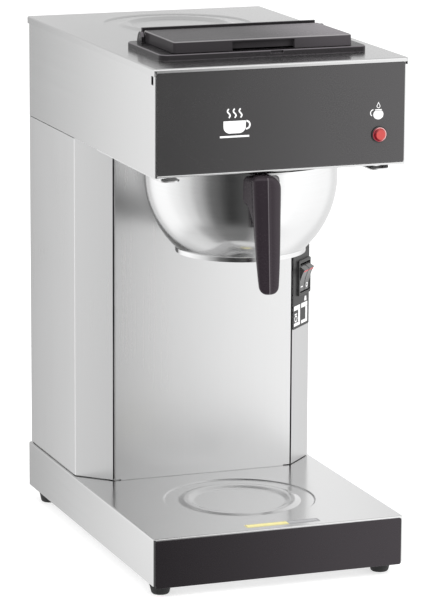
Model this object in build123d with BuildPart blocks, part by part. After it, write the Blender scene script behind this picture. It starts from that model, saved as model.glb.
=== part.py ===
"""Pour-over commercial coffee brewer: stainless base with a warmer, column with
tank and switches, hood with fill basin and a slide-out brew funnel.

Frame: +Z up, front of the machine toward -Y, +X to the right seen from the front.
Origin: middle of the overall width and depth, on the surface that the feet stand on.
Heights written h are above the lower edge of the base sheet, depths written d are
behind the front face of the base; Z(h) and Y(d) turn them into frame coordinates.
"""
from build123d import *
import math
import os

os.makedirs("parts", exist_ok=True)

# ---------------------------------------------------------------- driving dimensions
FOOT_DROP = 11.6          # feet reach this far below the base sheet
D_MID = 163.61            # depth of the frame origin behind the base front
T = 1.0                   # main sheet thickness

BASE_HALF_W = 110.2       # base half width
BASE_D = 339.0            # base depth
BASE_H = 39.6             # base deck height
HOOD_HALF_W = 108.0       # hood and column half width
HOOD_D0, HOOD_D1 = 3.4, 338.4
HOOD_H0, HOOD_H1 = 335.9, 423.5
COL_D0 = 184.6            # column front face
CHAM_X = 81.7             # inner corner of the column chamfers
COL_H0 = 40.3             # visible lower edge of the column sheets

WARM_D = 95.2             # lower warmer centre depth
TOPW_D = 253.3            # upper warmer centre depth
RING_R = 63.3             # warmer recess radius

FUN_D = 97.0              # funnel axis depth
FUN_R = 80.2              # funnel outside radius at the top
FUN_T = 0.8               # funnel wall
FUN_ARC = 83.1            # radius of the bowl's wall in section
FUN_H1 = 331.7            # underside of the funnel flange
FUN_H0 = 254.1            # funnel bottom
FUN_FLANGE = 86.5         # flange radius
TURN = 8.5                # handle turned from straight ahead, degrees

LID_X = 77.5              # lid half width
LID_D0 = 46.5             # lid front face
PIN_D, PIN_H = 119.5, 433.0   # lid hinge axis
LID_H0, LID_H1 = 428.8, 438.0
FRM_X, FRM_D0, FRM_D1 = 89.5, 42.0, 129.4
FRM_H1 = 428.5

LAMP_X, LAMP_H = 84.0, 361.5
SW_A, SW_H = 23.3, 204.0  # switch centre: along the chamfer, and height
PIVOT = 5.1               # rocker pivot below the chamfer face
TILT = 14.0               # rocker lean at rest; full throw is twice this


def Y(d):
    return d - D_MID


def Z(h):
    return h + FOOT_DROP


def strip(path, t):
    """Closed outline of a folded sheet: path is its outer line, t to its left."""
    n = len(path)
    inner = []
    for i, p in enumerate(path):
        def unit(a, b):
            dx, dy = b[0] - a[0], b[1] - a[1]
            l = math.hypot(dx, dy)
            return dx / l, dy / l
        if i == 0:
            u = unit(path[0], path[1])
            inner.append((p[0] - u[1] * t, p[1] + u[0] * t))
        elif i == n - 1:
            u = unit(path[-2], path[-1])
            inner.append((p[0] - u[1] * t, p[1] + u[0] * t))
        else:
            u, v = unit(path[i - 1], p), unit(p, path[i + 1])
            n1, n2 = (-u[1], u[0]), (-v[1], v[0])
            bx, by = n1[0] + n2[0], n1[1] + n2[1]
            k = t * 2 / (bx * bx + by * by)
            inner.append((p[0] + bx * k, p[1] + by * k))
    return list(path) + inner[::-1]


def front(d):
    """Plane facing the front (-Y) at depth d: local x is +X, local y is +Z."""
    return Plane(origin=(0, Y(d), 0), x_dir=(1, 0, 0), z_dir=(0, -1, 0))


def rear(d):
    """Plane facing the rear (+Y) at depth d: local x is -X, local y is +Z."""
    return Plane(origin=(0, Y(d), 0), x_dir=(-1, 0, 0), z_dir=(0, 1, 0))


def level(h):
    return Plane.XY.offset(Z(h))


def save(part, name):
    part.label = name
    export_step(part, f"parts/{name}.step")


# ================================================================ base
def warmer_profile(r):
    """Section of the pressed warmer disc: outer step, raised ring, flat middle."""
    return [(r + 1.3, 0), (r, -0.9), (51.6, -0.9), (47.0, 0.35), (43.2, 0.35), (38.6, -1.5), (0, -1.5),
            (0, -2.5), (38.9, -2.5), (43.4, -0.65), (46.8, -0.65), (51.3, -1.9), (r - 0.9, -1.9),
            (r + 0.6, -1.0), (r + 1.3, -1.0)]


WARM_ROUND = [((RING_R, -0.9), 0.8), ((51.6, -0.9), 4.0), ((47.0, 0.35), 4.0), ((43.2, 0.35), 4.0),
              ((38.6, -1.5), 4.0)]

PLATE_SCREWS = [(0, 9), (0, 331), (-101, 120), (101, 120), (-101, 226), (101, 226)]
FEET = [(-97.3, 20), (97.3, 20), (-97.3, 318), (97.3, 318)]
PLATE_XY = [(x, Y(d)) for x, d in PLATE_SCREWS]
FEET_XY = [(x, Y(d)) for x, d in FEET]

with BuildPart() as base_housing:
    with BuildSketch(level(0)):
        with Locations((0, Y((0.8 + BASE_D) / 2))):
            RectangleRounded(2 * BASE_HALF_W, BASE_D - 0.8, 2.2)
    extrude(amount=BASE_H)
    fillet(base_housing.faces().sort_by(Axis.Z)[-1].edges(), 1.3)
    with BuildSketch(level(T)):
        with Locations((0, Y((0.8 + BASE_D) / 2))):
            RectangleRounded(2 * (BASE_HALF_W - T), BASE_D - 0.8 - 2 * T, 1.2)
    extrude(amount=BASE_H - 2 * T, mode=Mode.SUBTRACT)
    # folded-in lower flange, with its screw holes
    with BuildSketch(level(0)):
        with Locations((0, Y((0.8 + BASE_D) / 2))):
            Rectangle(2 * (BASE_HALF_W - 16), BASE_D - 0.8 - 32)
        with Locations(*PLATE_XY):
            Circle(1.9)
        with Locations(*FEET_XY):
            Circle(2.3)
    extrude(amount=T, mode=Mode.SUBTRACT)
    # warmer: shallow recess with a raised ring that the decanter stands on
    with BuildSketch(level(BASE_H - 3)):
        with Locations((0, Y(WARM_D))):
            Circle(RING_R + 1.2)
    extrude(amount=6, mode=Mode.SUBTRACT)
    with BuildSketch(Plane(origin=(0, Y(WARM_D), Z(BASE_H)), x_dir=(1, 0, 0), z_dir=(0, -1, 0))) as warm_sk:
        with BuildLine():
            Polyline(*warmer_profile(RING_R), close=True)
        make_face()
        for pt, r in WARM_ROUND:
            fillet(warm_sk.vertices().sort_by_distance(Vector(pt[0], pt[1], 0))[0], r)
    revolve(axis=Axis((0, Y(WARM_D), 0), (0, 0, 1)))
    # cable opening under the column
    with BuildSketch(level(BASE_H - 3)):
        with Locations((0, Y(272))):
            RectangleRounded(110, 70, 6)
    extrude(amount=6, mode=Mode.SUBTRACT)
    # hole for the cord gland in the rear wall
    with BuildSketch(rear(BASE_D + 1)):
        with Locations((-70, Z(20))):
            Circle(8.1)
    extrude(amount=-4, mode=Mode.SUBTRACT)
save(base_housing.part, "base_housing")

with BuildPart() as base_front_panel:
    with BuildSketch(front(0.8)):
        with Locations((0, Z(18.0))):
            RectangleRounded(216.4, 40.0, 1.6)
    extrude(amount=0.8)
    fillet(base_front_panel.faces().sort_by(Axis.Y)[0].edges(), 0.35)
save(base_front_panel.part, "base_front_panel")

with BuildPart() as base_bottom_plate:
    with BuildSketch(level(-1)):
        with Locations((0, Y(169.9))):
            RectangleRounded(213, 331, 4)
        with Locations(*PLATE_XY):
            Circle(1.9, mode=Mode.SUBTRACT)
        with Locations(*FEET_XY):
            Circle(2.3, mode=Mode.SUBTRACT)
        # cooling slots
        with Locations(*[(x, Y(d)) for x in (-48, -24, 0, 24, 48) for d in (60, 170, 270)]):
            SlotOverall(34, 4, rotation=90, mode=Mode.SUBTRACT)
    extrude(amount=1)
save(base_bottom_plate.part, "base_bottom_plate")

with BuildPart() as bottom_plate_screws:
    with BuildSketch(level(-1)):
        with Locations(*PLATE_XY):
            Circle(3.4)
    extrude(amount=-2.4)
    fillet(bottom_plate_screws.faces().filter_by(Axis.Z).group_by(Axis.Z)[0].edges(), 1.2)
    with BuildSketch(level(-3.5)):
        with Locations(*PLATE_XY):
            Rectangle(3.6, 0.8)
            Rectangle(0.8, 3.6)
    extrude(amount=1.3, mode=Mode.SUBTRACT)
    with BuildSketch(level(-1)):
        with Locations(*PLATE_XY):
            Circle(1.5)
    extrude(amount=7)
save(bottom_plate_screws.part, "bottom_plate_screws")

with BuildPart() as feet:
    for x, d in FEET:
        with BuildSketch(Plane(origin=(x, Y(d), 0), x_dir=(1, 0, 0), z_dir=(0, -1, 0))):
            with BuildLine():
                Polyline((2.3, Z(-1)), (9.8, Z(-1)), (9.4, Z(-3)), (7.5, 0.9), (6.6, 0),
                         (4.3, 0), (4.3, Z(-8)), (2.3, Z(-8)), close=True)
            make_face()
        revolve(axis=Axis((x, Y(d), 0), (0, 0, 1)))
save(feet.part, "feet")

with BuildPart() as foot_screws:
    with BuildSketch(level(-8)):
        with Locations(*FEET_XY):
            Circle(3.7)
    extrude(amount=-2.2)
    fillet(foot_screws.faces().filter_by(Axis.Z).group_by(Axis.Z)[0].edges(), 1.0)
    with BuildSketch(level(-10.3)):
        with Locations(*FEET_XY):
            Rectangle(3.6, 0.8)
            Rectangle(0.8, 3.6)
    extrude(amount=1.2, mode=Mode.SUBTRACT)
    with BuildSketch(level(-8)):
        with Locations(*FEET_XY):
            Circle(2.0)
    extrude(amount=14)
save(foot_screws.part, "foot_screws")

with BuildPart() as foot_nuts:
    with BuildSketch(level(T)):
        with Locations(*FEET_XY):
            RegularPolygon(4.0, 6)
            Circle(2.05, mode=Mode.SUBTRACT)
    extrude(amount=3.2)
save(foot_nuts.part, "foot_nuts")

# ================================================================ column
COL_H1 = HOOD_H0 - 0.5
SW_C = (CHAM_X + SW_A * math.sqrt(0.5), COL_D0 + SW_A * math.sqrt(0.5))   # switch centre x, d
switch_plane = Plane(origin=(SW_C[0], Y(SW_C[1]), Z(SW_H)), x_dir=(1, 1, 0), z_dir=(1, -1, 0))

with BuildPart() as column_front_panel:
    with BuildSketch(level(COL_H0)) as s:
        with BuildLine():
            Polyline(*strip([(-81.0, Y(197)), (-81.0, Y(COL_D0)), (81.0, Y(COL_D0)), (81.0, Y(197))], T), close=True)
        make_face()
        for x in (-81.0, 81.0):
            fillet(s.vertices().sort_by_distance(Vector(x, Y(COL_D0), 0))[0], 0.8)
    extrude(amount=COL_H1 - COL_H0)
    # foot flange, set back behind the face
    with BuildSketch(level(BASE_H)):
        with Locations((0, Y(191.2))):
            Rectangle(150, 12)
    extrude(amount=1.3)
save(column_front_panel.part, "column_front_panel")


def side_path(sign):
    p = [(sign * 82.3, Y(199)), (sign * 82.3, Y(COL_D0 + 0.6)), (sign * HOOD_HALF_W, Y(210.9)),
         (sign * HOOD_HALF_W, Y(337.4)), (sign * 92, Y(337.4))]
    return strip(p, T * sign)


with BuildPart() as column_left_panel:
    with BuildSketch(level(COL_H0)) as s:
        with BuildLine():
            Polyline(*side_path(-1), close=True)
        make_face()
        fillet(s.vertices().sort_by_distance(Vector(-HOOD_HALF_W, Y(210.9), 0))[0], 1.6)
        fillet(s.vertices().sort_by_distance(Vector(-HOOD_HALF_W, Y(337.4), 0))[0], 1.0)
    extrude(amount=COL_H1 - COL_H0)
    with BuildSketch(level(BASE_H)):
        with Locations((-101.5, Y(273))):
            Rectangle(11, 110)
    extrude(amount=1.3)
    # rear screw holes
    with BuildSketch(rear(338)):
        with Locations((100, Z(52)), (100, Z(190)), (100, Z(325))):
            Circle(1.9)
    extrude(amount=-4, mode=Mode.SUBTRACT)
save(column_left_panel.part, "column_left_panel")

with BuildPart() as column_right_panel:
    with BuildSketch(level(COL_H0)) as s:
        with BuildLine():
            Polyline(*side_path(1), close=True)
        make_face()
        fillet(s.vertices().sort_by_distance(Vector(HOOD_HALF_W, Y(210.9), 0))[0], 1.6)
        fillet(s.vertices().sort_by_distance(Vector(HOOD_HALF_W, Y(337.4), 0))[0], 1.0)
    extrude(amount=COL_H1 - COL_H0)
    with BuildSketch(level(BASE_H)):
        with Locations((101.5, Y(273))):
            Rectangle(11, 110)
    extrude(amount=1.3)
    with BuildSketch(rear(338)):
        with Locations((-100, Z(52)), (-100, Z(190)), (-100, Z(325))):
            Circle(1.9)
    extrude(amount=-4, mode=Mode.SUBTRACT)
    # cut-out for the double switch
    with BuildSketch(switch_plane.offset(3)):
        Rectangle(23.4, 29.4)
    extrude(amount=-8, mode=Mode.SUBTRACT)
save(column_right_panel.part, "column_right_panel")

REAR_SCREWS = [(x, h) for x in (-100, 100) for h in (52, 190, 325, 410)]
with BuildPart() as rear_panel:
    with BuildSketch(rear(337.4)):
        with Locations((0, Z((40.6 + 416.9) / 2))):
            RectangleRounded(214, 376.3, 2)
        with Locations(*[(x, Z(h)) for x, h in REAR_SCREWS]):
            Circle(1.9, mode=Mode.SUBTRACT)
        # vent slots
        with Locations(*[(x, Z(h)) for x in (-45, 45) for h in (80, 90, 100, 110, 120, 380, 390, 400)]):
            SlotOverall(60, 4, mode=Mode.SUBTRACT)
    extrude(amount=1)
    fillet(rear_panel.faces().sort_by(Axis.Y)[-1].outer_wire().edges(), 0.4)
save(rear_panel.part, "rear_panel")

with BuildPart() as rear_screws:
    with BuildSketch(rear(338.4)):
        with Locations(*[(x, Z(h)) for x, h in REAR_SCREWS]):
            Circle(3.4)
    extrude(amount=2.2)
    fillet(rear_screws.faces().filter_by(Axis.Y).group_by(Axis.Y)[-1].edges(), 1.1)
    with BuildSketch(rear(340.7)):
        with Locations(*[(x, Z(h)) for x, h in REAR_SCREWS]):
            Rectangle(3.6, 0.8)
            Rectangle(0.8, 3.6)
    extrude(amount=-1.2, mode=Mode.SUBTRACT)
    with BuildSketch(rear(338.4)):
        with Locations(*[(x, Z(h)) for x, h in REAR_SCREWS]):
            Circle(1.5)
    extrude(amount=-7)
save(rear_screws.part, "rear_screws")

# ================================================================ hood
with BuildPart() as hood_shell:
    with BuildSketch(level(HOOD_H0)) as s:
        with BuildLine():
            Polyline(*strip([(-92, Y(337.4)), (-HOOD_HALF_W, Y(337.4)), (-HOOD_HALF_W, Y(4.2)),
                             (HOOD_HALF_W, Y(4.2)), (HOOD_HALF_W, Y(337.4)), (92, Y(337.4))], T), close=True)
        make_face()
        for x in (-HOOD_HALF_W, HOOD_HALF_W):
            fillet(s.vertices().sort_by_distance(Vector(x, Y(4.2), 0))[0], 1.8)
            fillet(s.vertices().sort_by_distance(Vector(x, Y(337.4), 0))[0], 1.0)
    extrude(amount=HOOD_H1 - 1.0 - HOOD_H0)
    # rolled lower edge under the dark panel
    with BuildSketch(Plane.YZ.offset(-106.4)):
        with Locations((Y(4.1), Z(336.9))):
            Circle(0.95)
    extrude(amount=212.8)
    # relief notches behind the front corners, under the top panel's flange
    with BuildSketch(Plane.YZ.offset(-120)):
        with Locations((Y(10.5), Z(414.2))):
            Rectangle(5.0, 8.4)
    extrude(amount=240, mode=Mode.SUBTRACT)
    # lamp hole
    with BuildSketch(front(8)):
        with Locations((LAMP_X, Z(LAMP_H))):
            Circle(5.2)
    extrude(amount=8, mode=Mode.SUBTRACT)
    with BuildSketch(rear(338)):
        with Locations((-100, Z(410)), (100, Z(410))):
            Circle(1.9)
    extrude(amount=-4, mode=Mode.SUBTRACT)
save(hood_shell.part, "hood_shell")

with BuildPart() as hood_bottom_plate:
    with BuildSketch(level(HOOD_H0)):
        with Locations((0, Y((5.4 + 214) / 2))):
            RectangleRounded(213.6, 208.6, 1)
        with Locations((0, Y(202))):
            Rectangle(120, 30, mode=Mode.SUBTRACT)
        with Locations((0, Y(FUN_D))):
            Circle(8.2, mode=Mode.SUBTRACT)
        with Locations(*[(x, Y(d)) for x in (-93, 93) for d in (30, 165)]):
            Circle(1.9, mode=Mode.SUBTRACT)
    extrude(amount=T)
    with BuildSketch(level(HOOD_H0)):
        with Locations((-106.3, Y(112)), (106.3, Y(112))):
            Rectangle(1.0, 200)
        with Locations((0, Y(5.9))):
            Rectangle(200, 1.0)
    extrude(amount=11)
save(hood_bottom_plate.part, "hood_bottom_plate")

with BuildPart() as hood_front_panel:
    with BuildSketch(front(4.2)):
        with Locations((0, Z(379))):
            RectangleRounded(212.6, 82, 1.2)
        with Locations((LAMP_X, Z(LAMP_H))):
            Circle(5.2, mode=Mode.SUBTRACT)
    extrude(amount=0.8)
    fillet(hood_front_panel.faces().sort_by(Axis.Y)[0].outer_wire().edges(), 0.35)
save(hood_front_panel.part, "hood_front_panel")

with BuildPart() as top_panel:
    with BuildSketch(level(417.5)):
        with Locations((0, Y((2.6 + 339.4) / 2))):
            RectangleRounded(218.4, 336.8, 2.4)
    extrude(amount=HOOD_H1 - 417.5)
    fillet(top_panel.faces().sort_by(Axis.Z)[-1].edges(), 1.4)
    with BuildSketch(level(417.5)):
        with Locations((0, Y((3.6 + 338.7) / 2))):
            RectangleRounded(216.4, 335.1, 1.4)
    extrude(amount=5.0, mode=Mode.SUBTRACT)
    # the front flange is shorter, so that the dark panel shows below it
    with BuildSketch(level(417.0)):
        with Locations((0, Y(2.5))):
            Rectangle(216.0, 4.0)
    extrude(amount=3.2, mode=Mode.SUBTRACT)
    # opening over the fill basin
    with BuildSketch(level(420)):
        with Locations((0, Y(86.5))):
            RectangleRounded(162, 74, 4)
    extrude(amount=6, mode=Mode.SUBTRACT)
    # upper warmer
    with BuildSketch(level(HOOD_H1 - 3)):
        with Locations((0, Y(TOPW_D))):
            Circle(RING_R + 1.2)
    extrude(amount=6, mode=Mode.SUBTRACT)
    with BuildSketch(Plane(origin=(0, Y(TOPW_D), Z(HOOD_H1)), x_dir=(1, 0, 0), z_dir=(0, -1, 0))) as top_sk:
        with BuildLine():
            Polyline(*warmer_profile(RING_R), close=True)
        make_face()
        for pt, r in WARM_ROUND:
            fillet(top_sk.vertices().sort_by_distance(Vector(pt[0], pt[1], 0))[0], r)
    revolve(axis=Axis((0, Y(TOPW_D), 0), (0, 0, 1)))
save(top_panel.part, "top_panel")

# ---------------------------------------------------------------- lid and its frame
with BuildPart() as lid_frame:
    with BuildSketch(level(HOOD_H1)):
        with Locations((0, Y((FRM_D0 + FRM_D1) / 2))):
            RectangleRounded(2 * FRM_X, FRM_D1 - FRM_D0, 7)
    extrude(amount=FRM_H1 - HOOD_H1)
    fillet(lid_frame.faces().sort_by(Axis.Z)[-1].edges(), 1.1)
    # skirt that drops through the panel opening
    with BuildSketch(level(413)):
        with Locations((0, Y(86.5))):
            RectangleRounded(160.8, 72.8, 3.4)
    extrude(amount=HOOD_H1 - 413)
    with BuildSketch(level(412)):
        with Locations((0, Y(86.5))):
            RectangleRounded(155, 67, 2)
    extrude(amount=9, mode=Mode.SUBTRACT)
    with BuildSketch(level(412)):
        with Locations((0, Y(84.5))):
            RectangleRounded(150, 60, 5)
    extrude(amount=20, mode=Mode.SUBTRACT)
    # upright wall behind the hinge
    with BuildSketch(level(FRM_H1 - 1)):
        with Locations((0, Y(127.0))):
            Rectangle(153, 2.2)
    extrude(amount=11.8)
    # hinge ears
    for sx in (-1, 1):
        with BuildSketch(Plane.YZ.offset(sx * 78.4 if sx > 0 else -80.8)):
            with BuildLine():
                Polyline((Y(115.2), Z(FRM_H1 - 1)), (Y(115.2), Z(433.2)), (Y(117.5), Z(437)),
                         (Y(121.5), Z(437)), (Y(124.2), Z(434.5)), (Y(127.2), Z(FRM_H1 - 1)), close=True)
            make_face()
            with Locations((Y(PIN_D), Z(PIN_H))):
                Circle(1.5, mode=Mode.SUBTRACT)
        extrude(amount=2.4)
    # small catch notch in the front edge
    with BuildSketch(front(FRM_D0 - 1)):
        with Locations((10, Z(427))):
            Rectangle(11, 2.2)
    extrude(amount=-3.0, mode=Mode.SUBTRACT)
save(lid_frame.part, "lid_frame")

with BuildPart() as lid_hinge_pins:
    for x0 in (-80.8, 66.0):
        with BuildSketch(Plane.YZ.offset(x0)):
            with Locations((Y(PIN_D), Z(PIN_H))):
                Circle(1.5)
        extrude(amount=14.8)
save(lid_hinge_pins.part, "lid_hinge_pins")

with BuildPart() as lid_cover:
    with BuildSketch(level(LID_H0)):
        with Locations((0, Y((LID_D0 + PIN_D) / 2))):
            RectangleRounded(2 * LID_X, PIN_D - LID_D0, 2.5)
        with Locations((0, Y(PIN_D - 4))):
            Rectangle(2 * LID_X, 8)
    extrude(amount=LID_H1 - LID_H0, taper=3)
    top_edges = lid_cover.faces().sort_by(Axis.Z)[-1].edges()
    fillet(top_edges.sort_by(Axis.Y)[:-1], 1.4)
    # hinge barrel
    with BuildSketch(Plane.YZ.offset(-LID_X)):
        with Locations((Y(PIN_D), Z(PIN_H))):
            Circle(4.0)
    extrude(amount=2 * LID_X)
    # hollow underside
    with BuildSketch(level(LID_H0 - 1)):
        with Locations((0, Y((LID_D0 + 2.4 + 114.0) / 2))):
            RectangleRounded(2 * (LID_X - 2.6), 114.0 - LID_D0 - 2.4, 2)
    extrude(amount=LID_H1 - LID_H0 + 1 - 2.2, mode=Mode.SUBTRACT)
    # finger recess in the front wall
    with BuildSketch(level(LID_H0 - 1)):
        with Locations((0, Y(LID_D0 + 2.0))):
            Rectangle(54, 9)
    extrude(amount=LID_H1 - LID_H0 + 1 - 1.8, mode=Mode.SUBTRACT)
    with BuildSketch(level(LID_H0 + 1.0)):
        with Locations((0, Y(LID_D0 + 6.2))):
            Rectangle(57, 1.6)
        with Locations((-27.7, Y(LID_D0 + 4.2)), (27.7, Y(LID_D0 + 4.2))):
            Rectangle(1.4, 5.6)
    extrude(amount=LID_H1 - LID_H0 - 2.2)
    with BuildSketch(Plane.YZ.offset(-90)):
        with Locations((Y(PIN_D), Z(PIN_H))):
            Circle(1.55)
    extrude(amount=180, mode=Mode.SUBTRACT)
save(lid_cover.part, "lid_cover")
# ================================================================ funnel
with BuildPart() as funnel_rails:
    for s in (-1, 1):
        with BuildSketch(front(181)):
            with BuildLine():
                Polyline((s * 88.0, Z(335.9)), (s * 99.2, Z(335.9)), (s * 99.2, Z(330.3)), (s * 82.0, Z(330.3)),
                         (s * 82.0, Z(331.3)), (s * 98.2, Z(331.3)), (s * 98.2, Z(334.9)), (s * 88.0, Z(334.9)),
                         close=True)
            make_face()
        extrude(amount=167)
    # rounded ends
    with BuildSketch(level(329)):
        with Locations((-90.6, Y(97.5)), (90.6, Y(97.5))):
            RectangleRounded(17.2, 167, 6)
    extrude(amount=8, mode=Mode.INTERSECT)
    with BuildSketch(level(334)):
        with Locations(*[(x, Y(d)) for x in (-93, 93) for d in (30, 165)]):
            Circle(1.9)
    extrude(amount=3, mode=Mode.SUBTRACT)
    # access holes under the screws
    with BuildSketch(level(329)):
        with Locations(*[(x, Y(d)) for x in (-93, 93) for d in (30, 165)]):
            Circle(3.9)
    extrude(amount=3, mode=Mode.SUBTRACT)
save(funnel_rails.part, "funnel_rails")

with BuildPart() as rail_screws:
    with BuildSketch(level(334.9)):
        with Locations(*[(x, Y(d)) for x in (-93, 93) for d in (30, 165)]):
            Circle(3.2)
    extrude(amount=-1.1)
    with BuildSketch(level(334.9)):
        with Locations(*[(x, Y(d)) for x in (-93, 93) for d in (30, 165)]):
            Circle(1.5)
    extrude(amount=6.5)
save(rail_screws.part, "rail_screws")

FUN_CX = FUN_R - FUN_ARC              # centre of the bowl's section arc
FUN_CH = 318.0


def bowl_r(h, off=0.0):
    """Outer radius of the funnel wall at height h, less an offset inward."""
    if h >= FUN_CH:
        return FUN_R - off
    return FUN_CX + math.sqrt((FUN_ARC - off) ** 2 - (FUN_CH - h) ** 2)


H_RING = 257.8                        # height where the wall meets the foot ring
with BuildPart() as funnel_body:
    with BuildSketch(Plane(origin=(0, Y(FUN_D), 0), x_dir=(1, 0, 0), z_dir=(0, -1, 0))) as s:
        with BuildLine():
            ro, ri = bowl_r(H_RING), bowl_r(H_RING, FUN_T)
            h_mid = 290.0
            Line((4.0, Z(256.2)), (4.0, Z(253.2)))
            Line((4.0, Z(253.2)), (5.0, Z(253.2)))
            Line((5.0, Z(253.2)), (5.0, Z(255.4)))
            Line((5.0, Z(255.4)), (ro - 1.2, Z(255.4)))
            Line((ro - 1.2, Z(255.4)), (ro - 1.2, Z(FUN_H0)))
            Line((ro - 1.2, Z(FUN_H0)), (ro, Z(FUN_H0)))
            Line((ro, Z(FUN_H0)), (ro, Z(H_RING)))
            ThreePointArc((ro, Z(H_RING)), (bowl_r(h_mid), Z(h_mid)), (FUN_R, Z(FUN_CH)))
            Line((FUN_R, Z(FUN_CH)), (FUN_R, Z(FUN_H1)))
            Line((FUN_R, Z(FUN_H1)), (FUN_FLANGE, Z(FUN_H1)))
            Line((FUN_FLANGE, Z(FUN_H1)), (FUN_FLANGE, Z(FUN_H1 + 1.6)))
            Line((FUN_FLANGE, Z(FUN_H1 + 1.6)), (FUN_FLANGE - 1.2, Z(FUN_H1 + 1.6)))
            Line((FUN_FLANGE - 1.2, Z(FUN_H1 + 1.6)), (FUN_FLANGE - 1.6, Z(FUN_H1 + 0.8)))
            Line((FUN_FLANGE - 1.6, Z(FUN_H1 + 0.8)), (FUN_R - FUN_T, Z(FUN_H1 + 0.8)))
            Line((FUN_R - FUN_T, Z(FUN_H1 + 0.8)), (FUN_R - FUN_T, Z(FUN_CH)))
            ThreePointArc((FUN_R - FUN_T, Z(FUN_CH)), (bowl_r(h_mid, FUN_T), Z(h_mid)), (ri, Z(H_RING)))
            Line((ri, Z(H_RING)), (ri, Z(256.2)))
            Line((ri, Z(256.2)), (4.0, Z(256.2)))
        make_face()
    revolve(axis=Axis((0, Y(FUN_D), 0), (0, 0, 1)))
    # handle screw holes through the wall
    with BuildSketch(Plane(origin=(0, Y(FUN_D), 0), x_dir=(math.cos(math.radians(TURN)), -math.sin(math.radians(TURN)), 0),
                           z_dir=(-math.sin(math.radians(TURN)), -math.cos(math.radians(TURN)), 0))):
        with Locations((0, Z(312)), (0, Z(325))):
            Circle(2.1)
    extrude(amount=95, mode=Mode.SUBTRACT)
save(funnel_body.part, "funnel_body")

# directions of the handle: OUT points away from the funnel axis, SIDE across the grip
TR = math.radians(TURN)
OUT = (-math.sin(TR), -math.cos(TR), 0)
SIDE = (math.cos(TR), -math.sin(TR), 0)
handle_side = Plane(origin=(0, Y(FUN_D), 0), x_dir=OUT, z_dir=(-SIDE[0], -SIDE[1], 0))
handle_front = Plane(origin=(0, Y(FUN_D), 0), x_dir=SIDE, z_dir=OUT)

# grip sections: height, outer distance from the funnel axis, inner distance, width
GRIP = [(333.6, 103.3, 89.0, 23.6), (318.0, 105.0, 89.6, 23.4), (300.0, 107.0, 91.8, 22.2),
        (283.0, 108.8, 95.6, 21.0), (266.0, 110.6, 99.8, 19.4), (252.0, 112.1, 103.2, 17.6),
        (238.6, 113.4, 105.9, 15.6)]
with BuildPart() as funnel_handle:
    for h, u1, u0, w in GRIP:
        with BuildSketch(Plane(origin=(0, Y(FUN_D), Z(h)), x_dir=SIDE, z_dir=(0, 0, 1))) as s:
            with BuildLine():
                Polyline((0, -u1), (w / 2, -u1 + 1.5), (w / 2, -u0), (-w / 2, -u0), (-w / 2, -u1 + 1.5), close=True)
            make_face()
            fillet(s.vertices().group_by(Axis.Y)[-1], 2.6)
            fillet(s.vertices().filter_by(lambda v: abs(v.Y - (-u1 + 1.5)) < 0.01), 3.4)
    loft()
    fillet(funnel_handle.faces().sort_by(Axis.Z)[-1].edges(), 2.6)
    fillet(funnel_handle.faces().sort_by(Axis.Z)[0].edges(), 2.6)
    # arm back to the funnel wall
    with BuildSketch(handle_front.offset(76)):
        with Locations((0, Z(318.6))):
            RectangleRounded(30.4, 24.6, 4.5)
    with BuildSketch(handle_front.offset(96)):
        with Locations((0, Z(309.5))):
            RectangleRounded(18.0, 44.0, 6.0)
    loft()
    # seat against the funnel wall
    with BuildSketch(level(300)):
        with Locations((0, Y(FUN_D))):
            Circle(FUN_R + 0.1)
    extrude(amount=40, mode=Mode.SUBTRACT)
    with BuildSketch(handle_front.offset(78)):
        with Locations((0, Z(312)), (0, Z(325))):
            Circle(1.7)
    extrude(amount=18, mode=Mode.SUBTRACT)
save(funnel_handle.part, "funnel_handle")

with BuildPart() as handle_screws:
    with BuildSketch(handle_front.offset(78.4)):
        with Locations((0, Z(312)), (0, Z(325))):
            Circle(3.6)
    extrude(amount=-1.8)
    with BuildSketch(handle_front.offset(78.3)):
        with Locations((0, Z(312)), (0, Z(325))):
            Circle(1.6)
    extrude(amount=14)
save(handle_screws.part, "handle_screws")

with BuildPart() as filter_rack:
    with BuildSketch(level(257.8)):
        with Locations((0, Y(FUN_D))):
            Circle(50.5)
            Circle(47.8, mode=Mode.SUBTRACT)
            Circle(22.5)
            Circle(19.8, mode=Mode.SUBTRACT)
            with PolarLocations(34.5, 6):
                Rectangle(28.0, 2.4)
    extrude(amount=1.6)
    # small feet that keep it off the funnel's floor
    with BuildSketch(level(256.2)):
        with Locations((0, Y(FUN_D))):
            with PolarLocations(49.1, 6):
                Circle(1.2)
    extrude(amount=1.6)
save(filter_rack.part, "filter_rack")

# ================================================================ water path
with BuildPart() as spray_head:
    with BuildSketch(Plane(origin=(0, Y(FUN_D), 0), x_dir=(1, 0, 0), z_dir=(0, -1, 0))):
        with BuildLine():
            Polyline((0, Z(333.9)), (20, Z(333.9)), (24, Z(334.5)), (24, Z(335.9)), (7.9, Z(335.9)), (7.9, Z(341.4)),
                     (4.2, Z(341.4)), (4.2, Z(336.0)), (22, Z(335.2)), (20, Z(334.7)), (0, Z(334.7)), close=True)
        make_face()
    revolve(axis=Axis((0, Y(FUN_D), 0), (0, 0, 1)))
    with BuildSketch(level(333)):
        with Locations((0, Y(FUN_D))):
            with PolarLocations(6, 6):
                Circle(0.9)
            with PolarLocations(12, 8):
                Circle(0.9)
            with PolarLocations(17.5, 12):
                Circle(0.9)
    extrude(amount=1.9, mode=Mode.SUBTRACT)
save(spray_head.part, "spray_head")

with BuildPart() as spray_nut:
    with BuildSketch(level(336.9)):
        with Locations((0, Y(FUN_D))):
            RegularPolygon(12.5, 6)
            Circle(8.0, mode=Mode.SUBTRACT)
    extrude(amount=3.6)
save(spray_nut.part, "spray_nut")

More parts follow.
